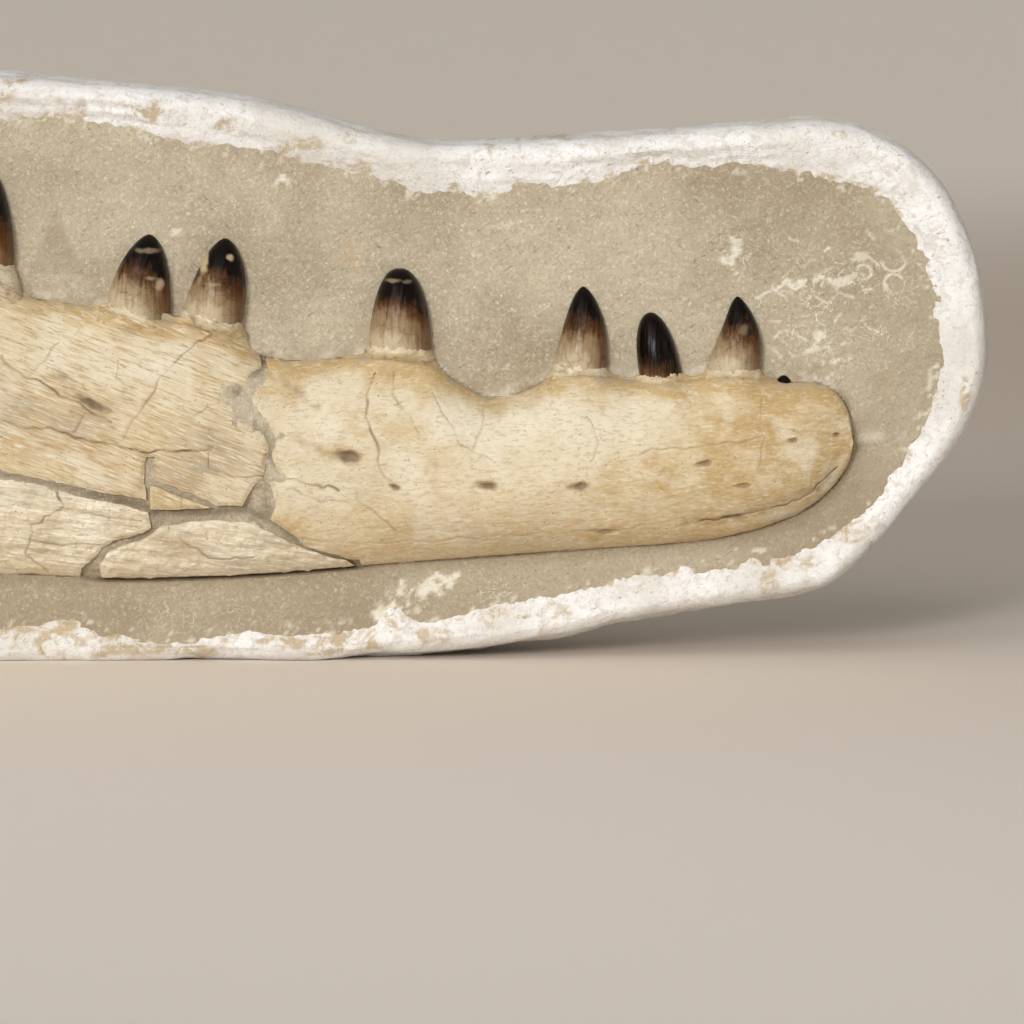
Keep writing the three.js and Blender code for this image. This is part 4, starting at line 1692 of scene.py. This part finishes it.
        # Painted shade round the jaw's borders, stronger at the lower right of its tip
        around = 0.5 * np.exp(-((jaw_margin(x, z) / 6) ** 2))
        around *= 1 + 0.9 * smooth_step(400, 465, x) * smooth_step(150, 110, z)
        # Darker towards the right
        around += 0.35 * smooth_step(380, 520, x)
        # A painted shadow on the sediment under the jaw's lower border
        around += 0.45 * smooth_step(5, -25, z - value_at(JAW_BOTTOM, x))
        print_reach = np.maximum(np.abs(x - 82) / 13 + (z - 198) / 30, (198 - z) / 4)
        print_shade = 0.45 * (1 - smooth_step(0.85, 1.05, print_reach)) * smooth_step(185, 193, z)
        return np.maximum(around, print_shade)


@dataclass
class JacketShape:
    """The plaster jacket, as rings round its widest line from the cavity to the back."""

    seed: int = 70
    pull: float = 0.9
    fine_step: float = 1.4
    coarse_step: float = 4.0
    fine_from: float = 45.0
    crest: float = 4.4
    crest_inset: float = 9.5
    back_gap: float = 0.6

    def line(self, fine: float, coarse: float) -> list[tuple[float, float, float, float]]:
        """Walks round the widest line.

        Args:
            fine: the step where the photo shows the jacket, in millimetres.
            coarse: the step elsewhere.

        Returns:
            For each station x, z, and the direction straight out of the line.
        """
        corners = np.array(JACKET_LINE, float)
        count = len(corners)
        dense = []
        for k in range(count):
            p0, p1, p2, p3 = (corners[(k + j) % count] for j in (-1, 0, 1, 2))
            knots = [0.0]
            for a, b in ((p0, p1), (p1, p2), (p2, p3)):
                knots.append(knots[-1] + math.sqrt(np.linalg.norm(b - a)))
            t0, t1, t2, t3 = knots
            for t in np.linspace(t1, t2, 60, endpoint=False):
                a1 = (t1 - t) / (t1 - t0) * p0 + (t - t0) / (t1 - t0) * p1
                a2 = (t2 - t) / (t2 - t1) * p1 + (t - t1) / (t2 - t1) * p2
                a3 = (t3 - t) / (t3 - t2) * p2 + (t - t2) / (t3 - t2) * p3
                b1 = (t2 - t) / (t2 - t0) * a1 + (t - t0) / (t2 - t0) * a2
                b2 = (t3 - t) / (t3 - t1) * a2 + (t - t1) / (t3 - t1) * a3
                dense.append((t2 - t) / (t2 - t1) * b1 + (t - t1) / (t2 - t1) * b2)
        dense = np.array(dense)
        along = np.roll(dense, -1, axis=0) - np.roll(dense, 1, axis=0)
        along /= np.linalg.norm(along, axis=1)[:, None]
        stations = []
        wait = 0.0
        for (x, z), (ax, az), step in zip(
            dense, along, np.linalg.norm(np.roll(dense, -1, axis=0) - dense, axis=1)
        ):
            wait -= step
            if wait <= 0:
                stations.append((float(x), float(z), float(-az), float(ax)))
                wait = fine if x > self.fine_from else coarse
        return stations

    def rim_widths(self, stations: np.ndarray) -> np.ndarray:
        """Measures how far in the plaster's inner border lies from each station.

        Args:
            stations: a row of x, z and the direction out, for each station.

        Returns:
            Distances in millimetres.
        """
        border = np.array(PLASTER_LINE + PLASTER_LINE[:1], float)
        start, along = border[:-1], np.diff(border, axis=0)
        widths = np.empty(len(stations))
        for k, (x, z, out_x, out_z) in enumerate(stations):
            cross = along[:, 0] * -out_z - along[:, 1] * -out_x
            cross = np.where(np.abs(cross) < 1e-9, 1e-9, cross)
            dx, dz = start[:, 0] - x, start[:, 1] - z
            reach = (along[:, 0] * dz - along[:, 1] * dx) / cross
            place = (-out_x * dz + out_z * dx) / cross
            hit = reach[(place >= 0) & (place <= 1) & (reach > 2)]
            widths[k] = min(hit.min(), 60) if len(hit) else 24
        return widths

    def build(self, material: bpy.types.Material) -> None:
        """Makes the jacket.

        Args:
            material: its plaster.
        """
        stations = np.array(self.line(self.fine_step, self.coarse_step))
        points = self.points(stations, *self.rings(stations))
        piece = grid_sheet("jacket_shell", np.concatenate([points, points[:, :1]], axis=1))
        weld(piece)
        solo(piece)
        bpy.ops.object.mode_set(mode="EDIT")
        bpy.ops.mesh.select_all(action="SELECT")
        bpy.ops.mesh.fill_holes(sides=0)
        bpy.ops.mesh.normals_make_consistent(inside=False)
        bpy.ops.object.mode_set(mode="OBJECT")
        x, _, z = get_points(piece).T
        write_mark(piece, "dirt", self.dirt(x, z))
        piece.data.materials.append(material)
        finish_piece(piece, ["jacket"], 70)

    def rings(self, stations: np.ndarray) -> tuple[np.ndarray, np.ndarray]:
        """Lays out the rings from the cavity's floor over the rim to the back.

        Args:
            stations: a row of x, z and the direction out, for each station.

        Returns:
            How far in from the widest line each point lies, and how deep behind the face, with
            one ring a row.
        """
        x, z = stations[:, 0], stations[:, 1]
        noise = Noise(self.seed)
        widths = self.rim_widths(stations)
        widths = np.median([np.roll(widths, k) for k in range(-3, 4)], axis=0)
        widths = (np.roll(widths, 1) + 2 * widths + np.roll(widths, -1)) / 4
        widths = widths + 0.8 * noise.layered(x, z, 6, 3) + 0.9 * noise.layered(x + 40, z, 2.6, 2)
        rings = [
            (26.5, 58.3), (14.2, 58.2), (13.8, 27), (widths * 0.8, 12), (widths + 3.5, 5),
            (widths + 3.5, 2.2),
        ]
        for share in (0.0, 0.12, 0.28, 0.5, 0.75, 1.0):
            rings.append((widths + 1.2 - 4.5 * share, 1.0 - 2.0 * share**0.7))
        for share in np.linspace(0.1, 1, 10):
            inset = (widths - 3.3) * (1 - share) + self.crest_inset * share
            rings.append((inset, -1.0 - (self.crest - 1.0) * share))
        for turn in np.linspace(0.12, 1, 9):
            angle = turn * math.pi / 2
            inset = self.crest_inset - 8.3 * math.sin(angle)
            rings.append((inset, -self.crest + 11 * (1 - math.cos(angle))))
        rings += JACKET_SIDE
        insets = np.array([widths * 0 + inset for inset, _ in rings])
        return insets, np.array([widths * 0 + depth for _, depth in rings])

    def points(
        self, stations: np.ndarray, insets: np.ndarray, depths: np.ndarray
    ) -> np.ndarray:
        """Places the rings' points, and gives the plaster its lumps and its wavy lower edge.

        Args:
            stations: a row of x, z and the direction out, for each station.
            insets: how far in each point lies, with one ring a row.
            depths: how deep behind the face each point lies.

        Returns:
            An array of rings by stations by x, y, z, in millimetres.
        """
        x0, z0, out_x, out_z = stations.T
        noise = Noise(self.seed)
        x = x0 - out_x * (insets + self.pull)
        z = z0 - out_z * (insets + self.pull)
        order = np.arange(len(insets))[:, None]
        shown = smooth_step(8, 12, order) * np.ones_like(x)
        lump = noise.layered(x + depths * 0.7, z + depths * 0.6, 34, 2) * 1.1
        lump += noise.layered(x + depths, z - depths, 9, 3) * 0.6
        steps = np.hypot(np.diff(x0, prepend=x0[-1]), np.diff(z0, prepend=z0[-1]))
        arc = np.cumsum(steps)[None, :] + 0 * depths
        lump += noise.layered(arc, insets + depths, 5, 2, 9.0) * 0.8
        side = smooth_step(-self.crest + 2, 8, depths) * shown
        back = smooth_step(50, 80, depths)
        pushed = np.minimum(lump, 0.8) * shown
        x = x + out_x * pushed * side * (1 - back)
        z = z + out_z * pushed * side * (1 - back)
        front = (1 - side) * shown
        depths = depths - np.clip(lump, -1.2, 0.7) * front * 0.9
        depths = depths - np.clip(lump + 0.8, 0, 1.6) * back * shown * 0.7
        depths = np.minimum(depths, BACK_LIMIT_Y - FACE_Y - self.back_gap)
        lift = 2.5 + 2.4 * np.exp(-(((x0 - 160) / 30) ** 2))
        lift = lift + 2.6 * np.exp(-(((x0 - 240) / 22) ** 2))
        lift = lift * smooth_step(-0.85, -0.95, out_z) * (1 - smooth_step(6, 14, insets))
        z = z + lift * (1 - smooth_step(6, 30, depths))
        return np.stack([x, FACE_Y + depths, np.maximum(z, 0)], axis=-1)

    def dirt(self, x: np.ndarray, z: np.ndarray) -> np.ndarray:
        """Gives where sediment is rubbed into the plaster.

        Args:
            x: places along the jaw.
            z: their heights.

        Returns:
            Strengths from 0 to 1.
        """
        noise = Noise(self.seed)
        border = line_distance(x, z, PLASTER_LINE, True)
        dirt = 0.75 * (1 - smooth_step(0, 3.5, border))
        dirt = dirt * smooth_step(-0.2, 0.6, noise.layered(x, z, 6, 3))
        dirt = np.maximum(dirt, 0.5 * smooth_step(0.62, 1.0, noise.layered(x + 50, z, 16, 4)))
        for px, pz, wide, high, strength in DIRT:
            reach = np.hypot((x - px) / wide, (z - pz) / high)
            reach = reach + 0.5 * noise.layered(x, z + 30, 9, 3)
            dirt = np.maximum(dirt, strength * (1 - smooth_step(0.4, 1.2, reach)))
        return dirt


class Jaw:
    """All the bones and teeth."""

    # Narrower teeth have neither a collar nor a swelling under them
    NUB = 12

    def __init__(self) -> None:
        """Makes the finishes that the bones share."""
        self.front_bone = BoneFinish("bone_front").build()
        self.rear_bone = BoneFinish("bone_rear", grain=Grain.FALLING, fibrous=1.0).build()
        self.pale_bone = BoneFinish(
            "bone_pale",
            pale=rgb(240, 233, 215),
            cream=rgb(230, 218, 194),
            ochre=rgb(203, 185, 152),
            fibre=rgb(178, 158, 126),
            grain=Grain.SLIGHT,
            mottle=0.85,
            fibrous=0.75,
        ).build()
        self.enamel = EnamelFinish().build()

    def bones(self) -> list[Bone]:
        """Lists the bones with their outlines, cracks and openings.

        Returns:
            The bones, not yet built.
        """
        front = FRONT_BREAK + [(PAST_TIP, PAST_TOP), (PAST_TIP, PAST_BOTTOM)]
        rear = REAR_BREAK + DENTARY_END + [(-80, PAST_TOP), (183, PAST_TOP)]
        front_pits = [(*proud([pit[:2]])[0], *pit[2:]) for pit in FORAMINA]
        rear_pits = [(*proud([pit[:2]])[0], *pit[2:]) for pit in REAR_PITS]
        angular = SPLENIAL_END + ANGULAR_TOP[1:] + [ARTICULAR_FRONT[0]]
        surangular = DENTARY_END[:4] + CORONOID_FOOT[1:] + [(-352, PAST_TOP)]
        surangular += ARTICULAR_FRONT[:0:-1] + ANGULAR_TOP[2:0:-1]
        coronoid = CORONOID_FOOT + [(-224, PAST_TOP), (-80, PAST_TOP)]
        articular = ARTICULAR_FRONT + [(PAST_BACK, PAST_TOP), (PAST_BACK, PAST_BOTTOM)]
        rear_style = {"material": self.rear_bone, "grain": Grain.FALLING}
        pale_style = {
            "material": self.pale_bone, "grain": Grain.SLIGHT, "slot": "pale_bone",
            "chips": 0.5, "lumps": 0.85,
        }
        return [
            Bone(
                "dentary_front", front, self.front_bone, step=0.58, seed=3,
                cracks=proud_cracks(FRONT_CRACKS), pits=front_pits,
                grooves=[proud(GROOVES[k]) for k in (0, 2, 3)],
            ),
            Bone(
                "dentary_rear", rear, step=0.62, seed=5, **rear_style,
                cracks=proud_cracks(REAR_CRACKS), grooves=[proud(GROOVES[1])],
                pits=rear_pits,
            ),
            Bone(
                "dentary_splinter", SPLINTER_LINE, step=0.5, seed=7, lift=0.7, sway=0.2,
                **rear_style,
            ),
            Bone(
                "splenial_front", SPLENIAL_FRONT_LINE, step=0.55, seed=9, lift=-0.8, **pale_style,
                cracks=proud_cracks(SPLENIAL_CRACKS[1:2], 15),
            ),
            Bone(
                "splenial_rear", SPLENIAL_REAR_LINE, step=0.6, seed=11, lift=-0.9, **pale_style,
                cracks=proud_cracks(SPLENIAL_CRACKS, 18),
            ),
            Bone("angular", angular, step=COARSE_STEP, seed=13, **rear_style),
            Bone("surangular", surangular, step=COARSE_STEP, seed=15, **rear_style),
            Bone("coronoid", coronoid, step=COARSE_STEP, seed=17, **rear_style),
            Bone("articular", articular, step=COARSE_STEP, seed=19, **rear_style),
        ]

    def teeth(self) -> list[Tooth]:
        """Lists the teeth from the front tip backwards.

        Returns:
            The teeth, not yet built.
        """
        rear = {"node": "dentary_rear"}
        # Each has x, z, width, height and lean, then power, blunt, bow, slope and seed
        teeth = [
            Tooth("tooth_7", 444.5, 139.3, 8, 4.6, 0, seed=31, dark=0.8, root=5),
            Tooth("tooth_6", 419, 148, 27, 35, 2.3, 1.3, 0.66, 2.4, 0.0, 32,
                  chips=[(424, 167, 2.6, 3.4, 0.22)]),
            Tooth("tooth_5", 383, 144, 21, 31, -5, 2.4, 0.5, 0, 0.0, 33, dark=0.5),
            Tooth("tooth_4", 343, 149, 26, 39, 1.5, 1.7, 0.62, 1.3, -0.06, 34),
            Tooth("tooth_3", 253, 159, 31, 38, 0, 1.7, 0.42, 0.5, -0.1, 35,
                  chips=[(250, 191.5, 4.5, 1.2, 0.35), (257, 191, 3, 1.0, 0.25)]),
            Tooth("tooth_2", 160, 174, 29, 38, 6.2, 2, 0.6, 1, -0.25, 36, **rear,
                  chips=[(155.5, 202, 2.8, 7, 0.9), (169, 203, 1.7, 1.9, 0.7),
                         (160, 190, 5, 1.0, 0.3)]),
            Tooth("tooth_1", 123, 176, 30, 38, 5.5, 2, 0.6, 0, -0.4, 37, **rear,
                  chips=[(134.5, 190, 2.6, 3.6, 0.75), (130, 193, 3, 0.9, 0.4),
                         (128.5, 206.5, 7, 1.5, 0.3)]),
            Tooth("tooth_0", 45, 206, 32, 44, 1, 2, 0.6, 0, -0.3, 38, **rear, root=30, flare=0.6,
                  dark=0.15),
        ]
        for k in range(3):
            x, size = 4 - 34 * k, 0.82**k
            z = float(value_at(JAW_TOP, np.array([x]))[0]) + 5
            name, lean = f"tooth_back_{k + 1}", -2 - k
            teeth.append(Tooth(name, x, z, 28 * size, 37 * size, lean, seed=41 + k, **rear))
        return teeth

    def build(self) -> None:
        """Makes every bone and tooth."""
        teeth = self.teeth()
        for bone in self.bones():
            bone.bulges = [
                (t.x, t.z, t.width) for t in teeth if t.node == bone.name and t.width > self.NUB
            ]
            bone.build()
        for tooth in teeth:
            tooth.crown(self.enamel)
            if tooth.width > self.NUB:
                tooth.collar(self.rear_bone if tooth.node == "dentary_rear" else self.front_bone)


def main() -> None:
    """Builds the part and its studio."""
    logging.basicConfig(level=logging.INFO, format="%(message)s")
    Studio().build()
    JacketShape().build(PlasterFinish().build())
    Sediment().build(SedimentFinish().build())
    Jaw().build()


if __name__ == "__main__":
    main()
